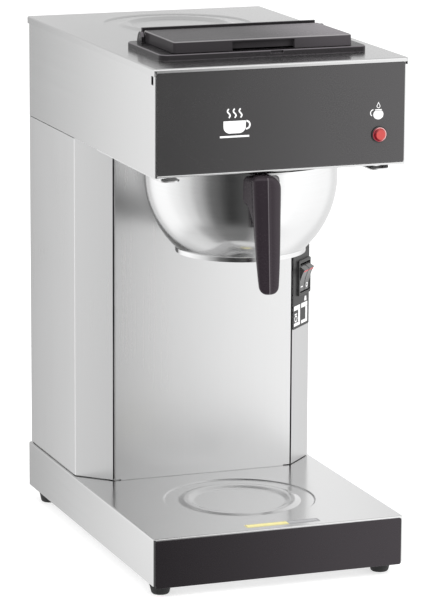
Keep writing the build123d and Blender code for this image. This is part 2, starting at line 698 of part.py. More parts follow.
with BuildPart() as spray_tube:
    with BuildLine() as path:
        FilletPolyline((30, Y(245), Z(318)), (30, Y(245), Z(350)), (30, Y(165), Z(350)), (0, Y(135), Z(350)),
                       (0, Y(FUN_D), Z(350)), (0, Y(FUN_D), Z(337)), radius=7.5)
    with BuildSketch(Plane(origin=path.line @ 0, z_dir=path.line % 0)):
        Circle(4.0)
        Circle(3.2, mode=Mode.SUBTRACT)
    sweep()
save(spray_tube.part, "spray_tube")

with BuildPart() as fill_tube:
    with BuildLine() as path:
        FilletPolyline((-30, Y(150), Z(364)), (-30, Y(150), Z(352)), (-30, Y(240), Z(352)), (-30, Y(240), Z(238)),
                       radius=8.0)
    with BuildSketch(Plane(origin=path.line @ 0, z_dir=path.line % 0)):
        Circle(5.0)
        Circle(4.0, mode=Mode.SUBTRACT)
    sweep()
save(fill_tube.part, "fill_tube")

with BuildPart() as fill_basin:
    with BuildSketch(level(366)):
        with Locations((0, Y(107))):
            RectangleRounded(170, 126, 10)
    extrude(amount=46.2)
    fillet(fill_basin.faces().sort_by(Axis.Z)[0].edges(), 6)
    offset(amount=-0.8, openings=fill_basin.faces().sort_by(Axis.Z)[-1])
    with BuildSketch(level(412.2)):
        with Locations((0, Y(107))):
            RectangleRounded(186, 142, 12)
            RectangleRounded(168.4, 124.4, 9.2, mode=Mode.SUBTRACT)
    extrude(amount=0.8)
    # drain
    with BuildSketch(level(364)):
        with Locations((-30, Y(150))):
            Circle(6.2)
            Circle(5.1, mode=Mode.SUBTRACT)
    extrude(amount=2.5)
    with BuildSketch(level(363)):
        with Locations((-30, Y(150))):
            Circle(5.1)
    extrude(amount=5, mode=Mode.SUBTRACT)
save(fill_basin.part, "fill_basin")

TANK_D, TANK_H0, TANK_H1 = 266.0, 226.0, 328.0
STUDS = [(x, Y(TANK_D + dy)) for x in (-79, 0, 79) for dy in (-64, 64)] + [(-79, Y(TANK_D)), (79, Y(TANK_D))]
with BuildPart() as tank_body:
    with BuildSketch(level(TANK_H0)):
        with Locations((0, Y(TANK_D))):
            RectangleRounded(146, 116, 14)
    extrude(amount=TANK_H1 - TANK_H0)
    fillet(tank_body.faces().sort_by(Axis.Z)[0].edges(), 8)
    offset(amount=-0.8, openings=tank_body.faces().sort_by(Axis.Z)[-1])
    with BuildSketch(level(TANK_H1 - 0.8)):
        with Locations((0, Y(TANK_D))):
            RectangleRounded(170, 138, 10)
            RectangleRounded(144.4, 114.4, 13.2, mode=Mode.SUBTRACT)
        with Locations(*STUDS):
            Circle(1.9, mode=Mode.SUBTRACT)
    extrude(amount=0.8)
save(tank_body.part, "tank_body")

with BuildPart() as tank_gasket:
    with BuildSketch(level(TANK_H1)):
        with Locations((0, Y(TANK_D))):
            RectangleRounded(170, 138, 10)
            RectangleRounded(144.4, 114.4, 13.2, mode=Mode.SUBTRACT)
        with Locations(*STUDS):
            Circle(1.9, mode=Mode.SUBTRACT)
    extrude(amount=2.0)
save(tank_gasket.part, "tank_gasket")

with BuildPart() as tank_lid:
    with BuildSketch(level(TANK_H1 + 2)):
        with Locations((0, Y(TANK_D))):
            RectangleRounded(170, 138, 10)
        with Locations(*STUDS):
            Circle(1.9, mode=Mode.SUBTRACT)
        with Locations((30, Y(245))):
            Circle(4.1, mode=Mode.SUBTRACT)
        with Locations((-30, Y(240))):
            Circle(5.1, mode=Mode.SUBTRACT)
        with Locations((-38, Y(290)), (38, Y(290))):
            Circle(4.6, mode=Mode.SUBTRACT)
    extrude(amount=1.2)
save(tank_lid.part, "tank_lid")

with BuildPart() as tank_bolts:
    with BuildSketch(level(TANK_H1 - 0.8)):
        with Locations(*STUDS):
            RegularPolygon(3.6, 6)
    extrude(amount=-2.6)
    with BuildSketch(level(TANK_H1 - 0.8)):
        with Locations(*STUDS):
            Circle(1.6)
    extrude(amount=6.4)
save(tank_bolts.part, "tank_bolts")

with BuildPart() as tank_nuts:
    with BuildSketch(level(TANK_H1 + 3.2)):
        with Locations(*STUDS):
            RegularPolygon(3.6, 6)
            Circle(1.65, mode=Mode.SUBTRACT)
    extrude(amount=2.4)
save(tank_nuts.part, "tank_nuts")

with BuildPart() as tank_supports:
    for s in (-1, 1):
        with BuildSketch(front(TANK_D + 48)):
            with BuildLine():
                Polyline((s * 107.0, Z(327.2)), (s * 83.2, Z(327.2)), (s * 83.2, Z(326.0)), (s * 105.8, Z(326.0)),
                         (s * 105.8, Z(312)), (s * 107.0, Z(312)), close=True)
            make_face()
        extrude(amount=96)
save(tank_supports.part, "tank_supports")

with BuildPart() as tank_heater:
    with BuildLine() as path:
        FilletPolyline((-38, Y(290), Z(341)), (-38, Y(290), Z(238)), (38, Y(290), Z(238)), (38, Y(290), Z(341)),
                       radius=14)
    with BuildSketch(Plane(origin=path.line @ 0, z_dir=path.line % 0)):
        Circle(4.0)
    sweep()
    # hexagon collars that seal on the tank lid
    with BuildSketch(level(TANK_H1 + 3.2)):
        with Locations((-38, Y(290)), (38, Y(290))):
            RegularPolygon(8.5, 6)
    extrude(amount=3.6)
    # terminals
    with BuildSketch(level(341)):
        with Locations((-38, Y(290)), (38, Y(290))):
            Rectangle(1.2, 6.3)
    extrude(amount=8)
save(tank_heater.part, "tank_heater")

TANK_FRONT = TANK_D - 58
with BuildPart() as thermostat:
    with BuildSketch(front(TANK_FRONT)):
        with Locations((-30, Z(250))):
            Circle(8.5)
    extrude(amount=7)
    fillet(thermostat.faces().sort_by(Axis.Y)[0].edges(), 1.0)
    with BuildSketch(front(TANK_FRONT - 7)):
        with Locations((-34.5, Z(250)), (-25.5, Z(250))):
            Rectangle(0.9, 6.3)
    extrude(amount=7)
save(thermostat.part, "thermostat")

with BuildPart() as limit_thermostat:
    with BuildSketch(front(TANK_FRONT)):
        with Locations((15, Z(290))):
            Circle(8.5)
    extrude(amount=9)
    fillet(limit_thermostat.faces().sort_by(Axis.Y)[0].edges(), 1.0)
    with BuildSketch(front(TANK_FRONT - 9)):
        with Locations((15, Z(290))):
            Circle(1.6)
        with Locations((10.5, Z(290)), (19.5, Z(290))):
            Rectangle(0.9, 6.3)
    extrude(amount=4)
save(limit_thermostat.part, "limit_thermostat")


# ================================================================ warmers
def warmer_heater(depth, deck):
    """Ring heating element pressed up under a warmer disc, with two terminals."""
    with BuildPart() as ring:
        with BuildSketch(level(deck - 1.9 - 3.0)):
            with Locations((0, Y(depth))):
                Circle(60)
                Circle(50, mode=Mode.SUBTRACT)
        extrude(amount=3.0)
        fillet(ring.faces().sort_by(Axis.Z)[0].edges(), 0.8)
        with BuildSketch(level(deck - 1.9 - 3.0)):
            with Locations((-6, Y(depth + 55)), (6, Y(depth + 55))):
                Rectangle(6.3, 4)
        extrude(amount=-6)
    return ring.part


def warmer_clamp(depth, deck):
    """Bridge that holds the ring element, bolted to the disc's middle."""
    with BuildPart() as clamp:
        with BuildSketch(level(deck - 4.9 - 1.2)):
            with Locations((0, Y(depth))):
                Rectangle(124, 14)
        extrude(amount=1.2)
        with BuildSketch(level(deck - 4.9)):
            with Locations((0, Y(depth))):
                Circle(5.5)
        extrude(amount=2.4)
        with BuildSketch(level(deck - 6.1)):
            with Locations((0, Y(depth))):
                RegularPolygon(4.6, 6)
        extrude(amount=-3)
    return clamp.part


lower_warmer_element = warmer_heater(WARM_D, BASE_H)
save(lower_warmer_element, "lower_warmer_element")
save(warmer_clamp(WARM_D, BASE_H), "lower_warmer_clamp")
save(warmer_heater(TOPW_D, HOOD_H1), "upper_warmer_element")
save(warmer_clamp(TOPW_D, HOOD_H1), "upper_warmer_clamp")

# ================================================================ switches and lamp
with BuildPart() as switch_overlay:
    with BuildSketch(Plane(origin=(CHAM_X, Y(COL_D0), 0), x_dir=(1, 1, 0), z_dir=(1, -1, 0))):
        with Locations((19.0, Z(196))):
            RectangleRounded(34.6, 72, 1.0)
        with Locations((SW_A, Z(SW_H))):
            Rectangle(23.4, 29.4, mode=Mode.SUBTRACT)
    extrude(amount=0.4)
save(switch_overlay.part, "switch_overlay")

with BuildPart() as switch_housing:
    # bezel on the face, body behind it
    with BuildSketch(switch_plane.offset(0.4)):
        RectangleRounded(25.6, 31.4, 1.2)
    extrude(amount=1.8)
    fillet(switch_housing.faces().sort_by(Axis((0, 0, 0), (1, -1, 0)))[-1].edges(), 0.7)
    with BuildSketch(switch_plane.offset(0.4)):
        Rectangle(22.8, 28.8)
    extrude(amount=-24)
    with BuildSketch(switch_plane.offset(3)):
        Rectangle(21.4, 26.4)
    extrude(amount=-13.5, mode=Mode.SUBTRACT)
    # web between the two rockers
    with BuildSketch(switch_plane.offset(-3.2)):
        Rectangle(0.8, 26.8)
    extrude(amount=-8)
    # pivot pin hole
    with BuildSketch(Plane(origin=(SW_C[0], Y(SW_C[1]), Z(SW_H)), x_dir=(-1, 1, 0), z_dir=(1, 1, 0)).offset(-14)):
        with Locations((PIVOT, 0)):
            Circle(0.8)
    extrude(amount=28, mode=Mode.SUBTRACT)
    # blade terminals
    with BuildSketch(switch_plane.offset(-23.4)):
        with Locations(*[(x, y) for x in (-5.3, 5.3) for y in (-8, 0, 8)]):
            Rectangle(6.0, 0.8)
    extrude(amount=-8)
save(switch_housing.part, "switch_housing")

rocker_axis_plane = Plane(origin=(SW_C[0], Y(SW_C[1]), Z(SW_H)), x_dir=(1, -1, 0), z_dir=(-1, -1, 0))
# on this plane local x points out of the face and local y points up
with BuildPart() as switch_pin:
    with BuildSketch(rocker_axis_plane.offset(-11.3)):
        with Locations((-PIVOT, 0)):
            Circle(0.8)
    extrude(amount=22.6)
save(switch_pin.part, "switch_pin")


def rocker(offset):
    """One rocker, leaning with its upper end out."""
    a = math.radians(TILT)

    def tip(v, w):
        """Point v up and w out of the pivot on the level rocker, turned to its lean."""
        return (-PIVOT + v * math.sin(a) + w * math.cos(a), v * math.cos(a) - w * math.sin(a))

    with BuildPart() as body:
        with BuildSketch(rocker_axis_plane.offset(offset)) as s:
            with BuildLine():
                ThreePointArc(tip(10.2, 9.2), tip(0, 7.7), tip(-10.2, 9.2))
                Polyline(tip(-10.2, 9.2), tip(-12.2, 3.0), tip(-9.0, -1.4), tip(0, -2.6), tip(9.0, -1.4),
                         tip(12.2, 3.0), tip(10.2, 9.2))
            make_face()
            with Locations((-PIVOT, 0)):
                Circle(0.85, mode=Mode.SUBTRACT)
        extrude(amount=9.9)
        ridge = body.edges().filter_by(Axis((0, 0, 0), (1, 1, 0))).filter_by(lambda e: 9 < e.length < 10.5)
        outer = ridge.sort_by_distance(rocker_axis_plane.from_local_coords(Vector(*tip(10.2, 9.2), offset + 5)))
        fillet([outer[0]], 0.6)
    return body.part


save(rocker(0.6), "rocker_left")
save(rocker(-10.5), "rocker_right")

with BuildPart() as lamp_body:
    with BuildSketch(front(HOOD_D0)):
        with Locations((LAMP_X, Z(LAMP_H))):
            Circle(6.7)
            Circle(5.95, mode=Mode.SUBTRACT)
    extrude(amount=1.3)
    fillet(lamp_body.faces().sort_by(Axis.Y)[0].edges(), 0.3)
    with BuildSketch(front(HOOD_D0)):
        with Locations((LAMP_X, Z(LAMP_H))):
            Circle(5.95)
    extrude(amount=0.8)
    with BuildSketch(front(HOOD_D0)):
        with Locations((LAMP_X, Z(LAMP_H))):
            Circle(5.0)
    extrude(amount=-16)
    with BuildSketch(front(HOOD_D0 + 16)):
        with Locations((LAMP_X - 2.5, Z(LAMP_H)), (LAMP_X + 2.5, Z(LAMP_H))):
            Rectangle(0.8, 4.8)
    extrude(amount=-7)
save(lamp_body.part, "lamp_body")

with BuildPart() as lamp_lens:
    with BuildSketch(front(HOOD_D0 - 0.8)):
        with Locations((LAMP_X, Z(LAMP_H))):
            Circle(5.8)
    extrude(amount=0.9)
    with BuildSketch(front(HOOD_D0 - 1.7)):
        with Locations((LAMP_X, Z(LAMP_H))):
            Circle(5.3)
    extrude(amount=2.4, taper=28)
    fillet(lamp_lens.faces().sort_by(Axis.Y)[0].edges(), 0.5)
save(lamp_lens.part, "lamp_lens")

with BuildPart() as lamp_nut:
    with BuildSketch(front(5.2)):
        with Locations((LAMP_X, Z(LAMP_H))):
            RegularPolygon(8.2, 6)
            Circle(5.05, mode=Mode.SUBTRACT)
    extrude(amount=-3)
save(lamp_nut.part, "lamp_nut")

# ================================================================ mains side
with BuildPart() as cord_gland:
    with BuildSketch(rear(BASE_D)):
        with Locations((-70, Z(20))):
            Circle(11)
    extrude(amount=3)
    fillet(cord_gland.faces().sort_by(Axis.Y)[-1].edges(), 1.0)
    with BuildSketch(rear(BASE_D)):
        with Locations((-70, Z(20))):
            Circle(8.0)
    extrude(amount=-10)
    with BuildSketch(rear(BASE_D + 5)):
        with Locations((-70, Z(20))):
            Circle(4.2)
    extrude(amount=-20, mode=Mode.SUBTRACT)
save(cord_gland.part, "cord_gland")

with BuildPart() as terminal_block:
    with BuildSketch(rear(337.4)):
        with Locations((60, Z(70))):
            Rectangle(44, 22)
    extrude(amount=-8)
    with BuildSketch(rear(329.4)):
        with Locations(*[(60 + dx, Z(70)) for dx in (-14.5, 0, 14.5)]):
            Rectangle(10.5, 18)
    extrude(amount=-9)
    with BuildSketch(rear(320.4)):
        with Locations(*[(60 + dx, Z(70 + dz)) for dx in (-14.5, 0, 14.5) for dz in (-5, 5)]):
            Circle(2.2)
    extrude(amount=4, mode=Mode.SUBTRACT)
save(terminal_block.part, "terminal_block")

with BuildPart() as ground_stud:
    with BuildSketch(rear(337.4)):
        with Locations((-60, Z(70))):
            Circle(2.4)
    extrude(amount=-14)
    with BuildSketch(rear(337.4)):
        with Locations((-60, Z(70))):
            RegularPolygon(5.0, 6)
    extrude(amount=-3.4)
save(ground_stud.part, "ground_stud")


def wire(points, r=1.3, bend=9.0):
    with BuildPart() as w:
        with BuildLine() as run:
            FilletPolyline(*[(x, Y(d), Z(h)) for x, d, h in points], radius=bend)
        with BuildSketch(Plane(origin=run.line @ 0, z_dir=run.line % 0)):
            Circle(r)
        sweep()
    return w.part


# supply leads from the gland to the terminal block
save(wire([(70, 328, 20), (70, 300, 20), (-46, 300, 20), (-46, 300, 50), (-46, 316, 66)], r=2.2, bend=7),
     "supply_wires")
# terminal block to the switches
save(wire([(-60, 319, 66), (-60, 235, 66), (62, 235, 66), (66, 233, 186)]), "switch_wires")
# switches to the lamp, up the front of the column and over the hood's floor
save(wire([(74, 226, 212), (60, 222, 212), (50, 191.3, 216), (50, 191.3, 343), (84, 66, 343), (84, 34, 348),
           (84, 29, 358)], bend=4.5), "lamp_wires")

# blank sticker on the front edge of the deck
with BuildPart() as deck_sticker:
    with BuildSketch(level(BASE_H)):
        with Locations((6.7, Y(13))):
            RectangleRounded(64.6, 8.0, 1.0)
    extrude(amount=0.2)
save(deck_sticker.part, "deck_sticker")
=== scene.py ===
"""Looks for the coffee brewer: materials, printed marks, grip, lamp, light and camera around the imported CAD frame.

Metres, in the frame's own axes: +Z up, the front of the machine toward -Y. Depths written d are behind the front of
the base and heights written h are above the lower edge of its sheet, both in millimetres, as in the CAD source.
"""

import math

import bmesh
import bpy
from mathutils import Matrix, Vector


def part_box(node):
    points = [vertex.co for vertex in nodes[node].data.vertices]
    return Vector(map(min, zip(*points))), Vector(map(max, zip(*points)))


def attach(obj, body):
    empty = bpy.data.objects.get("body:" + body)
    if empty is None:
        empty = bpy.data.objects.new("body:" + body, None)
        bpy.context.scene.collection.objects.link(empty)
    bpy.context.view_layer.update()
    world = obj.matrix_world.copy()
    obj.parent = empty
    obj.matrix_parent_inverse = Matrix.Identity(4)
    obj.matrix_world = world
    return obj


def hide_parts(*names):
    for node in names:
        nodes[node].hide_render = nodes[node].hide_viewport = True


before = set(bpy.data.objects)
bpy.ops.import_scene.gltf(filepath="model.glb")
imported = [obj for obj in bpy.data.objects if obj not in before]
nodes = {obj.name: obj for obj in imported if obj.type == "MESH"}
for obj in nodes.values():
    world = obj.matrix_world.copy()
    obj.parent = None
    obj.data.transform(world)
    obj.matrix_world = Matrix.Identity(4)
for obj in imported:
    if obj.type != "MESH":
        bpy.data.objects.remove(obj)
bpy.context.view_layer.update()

D_MID, FOOT_DROP = 163.61, 11.6


def P(x, d, h):
    """A point from x, depth and height in millimetres."""
    return Vector((x, d - D_MID, h + FOOT_DROP)) / 1000


# ------------------------------------------------------------------ camera
cam = bpy.data.objects.new("camera", bpy.data.cameras.new("camera"))
bpy.context.scene.collection.objects.link(cam)
R = Vector((0.93722811, -0.34867913, 0.00513158))
U = Vector((0.06902373, 0.19991584, 0.97737883))
F = Vector((0.34181749, 0.91567271, -0.21143388))
m = Matrix((R, U, -F)).transposed().to_4x4()
m.translation = P(-1010.354, -2562.076, 827.486)
cam.matrix_world = m
cam.data.sensor_width = 36.0
cam.data.lens = 3484.605 / 597 * 36.0
cam.data.clip_start, cam.data.clip_end = 0.1, 100
bpy.context.scene.camera = cam


# ------------------------------------------------------------------ material tools
class Mat:
    """A node-based Principled material. Constant values sit on the shader's own sockets."""

    def __init__(self, name, **values):
        self.m = bpy.data.materials.new(name)
        self.m.use_nodes = True
        self.t = self.m.node_tree
        self.t.nodes.clear()
        self.out = self.t.nodes.new("ShaderNodeOutputMaterial")
        self.b = self.t.nodes.new("ShaderNodeBsdfPrincipled")
        self.t.links.new(self.b.outputs["BSDF"], self.out.inputs["Surface"])
        for k, v in values.items():
            self.b.inputs[k.replace("_", " ")].default_value = v

    def node(self, kind, inputs=(), **props):
        n = self.t.nodes.new(kind)
        for k, v in props.items():
            setattr(n, k, v)
        for i, v in enumerate(inputs):
            if v is None:
                continue
            if isinstance(v, bpy.types.NodeSocket):
                self.t.links.new(v, n.inputs[i])
            else:
                n.inputs[i].default_value = v
        return n

    def link(self, value, socket):
        self.t.links.new(value, self.b.inputs[socket])

    def place(self):
        return self.node("ShaderNodeTexCoord").outputs["Object"]

    def scaled(self, scale, shift=(0, 0, 0), vec=None):
        n = self.node("ShaderNodeMapping")
        self.t.links.new(vec or self.place(), n.inputs["Vector"])
        n.inputs["Scale"].default_value = scale
        n.inputs["Location"].default_value = shift
        return n.outputs[0]

    def noise(self, vec, scale=1.0, detail=2.0, rough=0.5, distort=0.0):
        n = self.node("ShaderNodeTexNoise")
        self.t.links.new(vec, n.inputs["Vector"])
        n.inputs["Scale"].default_value = scale
        n.inputs["Detail"].default_value = detail
        n.inputs["Roughness"].default_value = rough
        n.inputs["Distortion"].default_value = distort
        return n.outputs["Fac"]

    def math(self, op, a, b=None, c=None):
        return self.node("ShaderNodeMath", (a, b, c), operation=op).outputs[0]

    def span(self, value, f0, f1, t0, t1, smooth=False):
        n = self.node("ShaderNodeMapRange", (value, f0, f1, t0, t1))
        n.interpolation_type = "SMOOTHSTEP" if smooth else "LINEAR"
        return n.outputs[0]

    def mix(self, fac, a, b, blend="MIX"):
        n = self.node("ShaderNodeMix", data_type="RGBA", blend_type=blend)
        for sock, v in ((n.inputs[0], fac), (n.inputs[6], a), (n.inputs[7], b)):
            if isinstance(v, bpy.types.NodeSocket):
                self.t.links.new(v, sock)
            elif hasattr(v, "__len__"):
                sock.default_value = (*v[:3], 1)
            else:
                sock.default_value = v
        return n.outputs[2]

    def bump(self, height, distance, strength=1.0, normal=None):
        n = self.node("ShaderNodeBump")
        n.inputs["Strength"].default_value = strength
        n.inputs["Distance"].default_value = distance
        self.t.links.new(height, n.inputs["Height"])
        if normal is not None:
            self.t.links.new(normal, n.inputs["Normal"])
        return n.outputs[0]

    def axes(self):
        return self.node("ShaderNodeSeparateXYZ", (self.place(),)).outputs

    def edge(self, radius, f0=0.004, f1=0.12):
        """1 along the object's sharp edges and corners, 0 on its flats."""
        bev = self.node("ShaderNodeBevel", samples=4)
        bev.inputs["Radius"].default_value = radius
        geo = self.node("ShaderNodeNewGeometry")
        dot = self.node("ShaderNodeVectorMath", (bev.outputs[0], geo.outputs["Normal"]), operation="DOT_PRODUCT")
        return self.span(dot.outputs["Value"], 1.0 - f0, 1.0 - f1, 0.0, 1.0)

    def rounded(self):
        """1 on rounded upper edges, 0 on flats and walls."""
        geo = self.node("ShaderNodeNewGeometry")
        nz = self.node("ShaderNodeSeparateXYZ", (geo.outputs["Normal"],)).outputs[2]
        return self.math("MULTIPLY", self.span(nz, 0.28, 0.50, 0.0, 1.0, True), self.span(nz, 0.92, 0.995, 1.0, 0.0, True))


def grey(v, warm=0.0):
    return (v * (1 + warm), v, v * (1 - warm))


def plum(v):
    return (v * 1.03, v * 0.94, v * 1.02)


def steel(name, grain, tone=0.62, rough=0.22, streak=0.02, relief=1.2e-6, smudge=0.03, aniso=0.0):
    """Brushed sheet: grain is the axis that the brushing runs along."""
    g = Mat(name, Metallic=1.0)
    fine = [900.0, 900.0, 900.0]
    wide = [170.0, 170.0, 170.0]
    fine["XYZ".index(grain)] = 7.0
    wide["XYZ".index(grain)] = 2.0
    a = g.noise(g.scaled(fine), detail=3, rough=0.6)
    b = g.noise(g.scaled(wide, (3, 1, 2)), detail=2)
    cloud = g.noise(g.scaled((7, 7, 7), (1, 4, 2)), detail=4, rough=0.55, distort=0.4)
    both = g.math("ADD", g.math("MULTIPLY", a, 0.6), g.math("MULTIPLY", b, 0.4))
    shade = g.span(both, 0.3, 0.7, 1 - streak, 1 + streak)
    base = g.mix(1.0, g.mix(cloud, grey(tone * 0.985, 0.002), grey(tone * 1.01, -0.004)), shade, "MULTIPLY")
    g.link(base, "Base Color")
    r = g.math("ADD", g.span(both, 0.3, 0.7, rough - 0.015, rough + 0.02), g.span(cloud, 0.35, 0.7, 0.0, smudge))
    g.link(r, "Roughness")
    g.link(g.bump(a, relief), "Normal")
    return g.m


def spun(name, centre, tone=0.72, rough=0.14, aniso=0.6):
    """Spun and polished bowl: the fine lines run round its axis."""
    g = Mat(name, Metallic=1.0, Anisotropic=aniso)
    shift = g.node("ShaderNodeVectorMath", (g.place(),), operation="SUBTRACT")
    shift.inputs[1].default_value = (centre[0], centre[1], 0)
    s = g.node("ShaderNodeSeparateXYZ", (shift.outputs[0],)).outputs
    flat = g.node("ShaderNodeCombineXYZ", (s[0], s[1], None))
    rad = g.node("ShaderNodeVectorMath", (flat.outputs[0],), operation="LENGTH").outputs["Value"]
    turn = g.math("ARCTAN2", s[1], s[0])
    v = g.node("ShaderNodeCombineXYZ", (g.math("MULTIPLY", rad, 1300.0), g.math("MULTIPLY", s[2], 1300.0),
                                        g.math("MULTIPLY", turn, 1.5))).outputs[0]
    lines = g.noise(v, detail=3, rough=0.6)
    cloud = g.noise(g.scaled((14, 14, 14), (2, 2, 5)), detail=4, rough=0.6)
    g.link(g.mix(lines, grey(tone * 0.95), grey(tone * 1.04, -0.004)), "Base Color")
    g.link(g.math("ADD", g.span(lines, 0.3, 0.7, rough - 0.03, rough + 0.04), g.span(cloud, 0.4, 0.7, 0, 0.05)), "Roughness")
    g.link(g.bump(lines, 1.5e-6), "Normal")
    tan = g.node("ShaderNodeTangent", direction_type="RADIAL", axis="Z")
    g.link(tan.outputs[0], "Tangent")
    return g.m


def plastic(name, dark, light, rough, grain=1.0, relief=2e-5, scale=900.0, coat=0.0, edge=0.0008, edge_highlight_gain=2.0, sheen=0.5,
            tint=(1, 1, 1, 1), painted_highlight=None):
    """Moulded plastic or paint with a fine grain and soft handling marks; its edges, and its rounded upper edges when
    asked, are painted paler as a painted highlight.
    """
    g = Mat(name, Specular_IOR_Level=sheen, Coat_Weight=coat, Coat_Roughness=0.12, Specular_Tint=tint)
    n = g.noise(g.scaled((scale,) * 3), detail=3, rough=0.6)
    cloud = g.noise(g.scaled((11, 11, 11), (5, 1, 3)), detail=5, rough=0.6, distort=0.5)
    c = g.mix(cloud, dark, light)
    # Painted highlight: edges found by the bevel test are painted lighter than the flats.
    if edge:
        e = g.edge(edge)
        c = g.mix(g.math("MULTIPLY", e, g.span(cloud, 0.3, 0.7, 0.35, 0.9)), c, tuple(min(1, x * edge_highlight_gain) for x in light))
    # Painted highlight: rounded upper edges are painted pale plum.
    if painted_highlight:
        c = g.mix(g.math("MULTIPLY", g.rounded(), g.span(cloud, 0.3, 0.7, 0.6, 1.0)), c, plum(painted_highlight))
    g.link(c, "Base Color")
    g.link(g.math("ADD", g.span(n, 0.3, 0.7, rough - 0.04 * grain, rough + 0.04 * grain),
                  g.span(cloud, 0.4, 0.75, 0.0, 0.10 * grain)), "Roughness")
    g.link(g.bump(n, relief), "Normal")
    return g.m


M = {}
M["column"] = steel("column_sheet", "Z", 0.64, 0.27, streak=0.010)
M["side"] = steel("side_sheet", "Y", 0.62, 0.20, streak=0.008, relief=6e-7)
M["deck"] = steel("deck_sheet", "Y", 0.645, 0.17, streak=0.012)
M["top"] = steel("top_sheet", "Y", 0.60, 0.19, streak=0.012)
M["inner"] = steel("inner_sheet", "X", 0.50, 0.38)
M["rail"] = steel("rail_sheet", "Y", 0.74, 0.34)
M["rear"] = steel("rear_sheet", "Z", 0.58, 0.34)
funnel_lo, funnel_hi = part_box("funnel_body")
M["funnel"] = spun("funnel_polish", ((funnel_lo.x + funnel_hi.x) / 2, (funnel_lo.y + funnel_hi.y) / 2))
M["panel"] = plastic("panel_paint", grey(0.0145, 0.01), grey(0.0175, 0.01), 0.22, sheen=0.90, relief=1.0e-6, scale=1500, edge=0.0006, edge_highlight_gain=2.6,
                     tint=(1.0, 0.975, 1.0, 1))
M["base_panel"] = plastic("base_panel_paint", (0.0014, 0.0011, 0.0014), (0.0022, 0.0017, 0.0022), 0.20, sheen=0.62, relief=1.0e-6, scale=1500,
                          edge=0.0006, edge_highlight_gain=6.0, tint=(1.0, 0.90, 0.98, 1))


def lid_plastic():
    """Glossy moulding with painted highlight: paler toward the right end, paler on the top face than on the front, and
    pale rounded upper edges.
    """
    g = Mat("lid_moulded", Specular_IOR_Level=0.015, Coat_Weight=0.07, Coat_Roughness=0.08, Specular_Tint=(1.0, 0.97, 0.99, 1))
    lo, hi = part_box("lid_cover")
    x, y, z = g.axes()
    n = g.noise(g.scaled((1400, 1400, 1400)), detail=3, rough=0.6)
    cloud = g.noise(g.scaled((11, 11, 11), (5, 1, 3)), detail=5, rough=0.6, distort=0.5)
    c = g.mix(cloud, plum(0.0320), plum(0.0385))
    # Painted highlight: the lid is painted paler toward its right end.
    painted_highlight = g.span(g.math("ADD", x, g.math("MULTIPLY", cloud, 0.006)), -0.006, hi.x + 0.004, 0.0, 1.0, True)
    # Painted highlight: the top face is painted paler than the front.
    over = g.span(z, hi.z - 0.0012, hi.z - 0.0004, 0.0, 1.0)
    c = g.mix(painted_highlight, c, g.mix(over, plum(0.070), plum(0.150)))
    # Painted highlight on the rounded upper edges.
    c = g.mix(g.math("MULTIPLY", g.rounded(), g.span(cloud, 0.3, 0.7, 0.65, 1.0)), c, (0.272, 0.264, 0.270))
    g.link(c, "Base Color")
    g.link(g.math("ADD", g.span(n, 0.3, 0.7, 0.19, 0.25), g.span(cloud, 0.4, 0.75, 0.0, 0.06)), "Roughness")
    g.link(g.bump(n, 1.6e-6), "Normal")
    return g.m


M["lid"] = lid_plastic()
# Painted highlight: the frame's edges and rounded upper edges are painted paler.
M["frame"] = plastic("frame_moulded", plum(0.0145), plum(0.0180), 0.24, sheen=0.22, relief=1.6e-6, scale=1400, edge=0.0009, edge_highlight_gain=7.0, painted_highlight=0.15,
                     tint=(1.0, 0.97, 1.0, 1))


def grip_plastic():
    """Dark brown moulding with a painted highlight line down the front ridge."""
    g = Mat("handle_bakelite", Specular_IOR_Level=0.26, Coat_Weight=0.10, Coat_Roughness=0.10, Specular_Tint=(1.0, 0.92, 0.97, 1))
    turn = math.radians(8.5)
    shift = g.node("ShaderNodeVectorMath", (g.place(),), operation="SUBTRACT")
    shift.inputs[1].default_value = P(0, 97, 0)
    along = []
    for axis in ((math.cos(turn), -math.sin(turn), 0), (-math.sin(turn), -math.cos(turn), 0)):
        dot = g.node("ShaderNodeVectorMath", (shift.outputs[0],), operation="DOT_PRODUCT")
        dot.inputs[1].default_value = axis
        along.append(dot.outputs["Value"])
    # Painted highlight: a pale line down the middle of the grip's front face.
    line = g.math("MULTIPLY", g.span(g.math("ABSOLUTE", along[0]), 0.00020, 0.00052, 1.0, 0.0, True),
                  g.math("GREATER_THAN", along[1], 0.1020))
    n = g.noise(g.scaled((500, 500, 500)), detail=3, rough=0.6)
    cloud = g.noise(g.scaled((11, 11, 11), (5, 1, 3)), detail=5, rough=0.6, distort=0.5)
    c = g.mix(cloud, (0.0200, 0.0152, 0.0192), (0.0265, 0.0204, 0.0255))
    c = g.mix(g.math("MULTIPLY", line, g.span(cloud, 0.3, 0.7, 0.75, 1.0)), c, (0.120, 0.108, 0.116))
    g.link(c, "Base Color")
    g.link(g.math("ADD", g.span(n, 0.3, 0.7, 0.20, 0.27), g.span(cloud, 0.4, 0.75, 0.0, 0.08)), "Roughness")
    g.link(g.bump(n, 1.2e-6), "Normal")
    return g.m


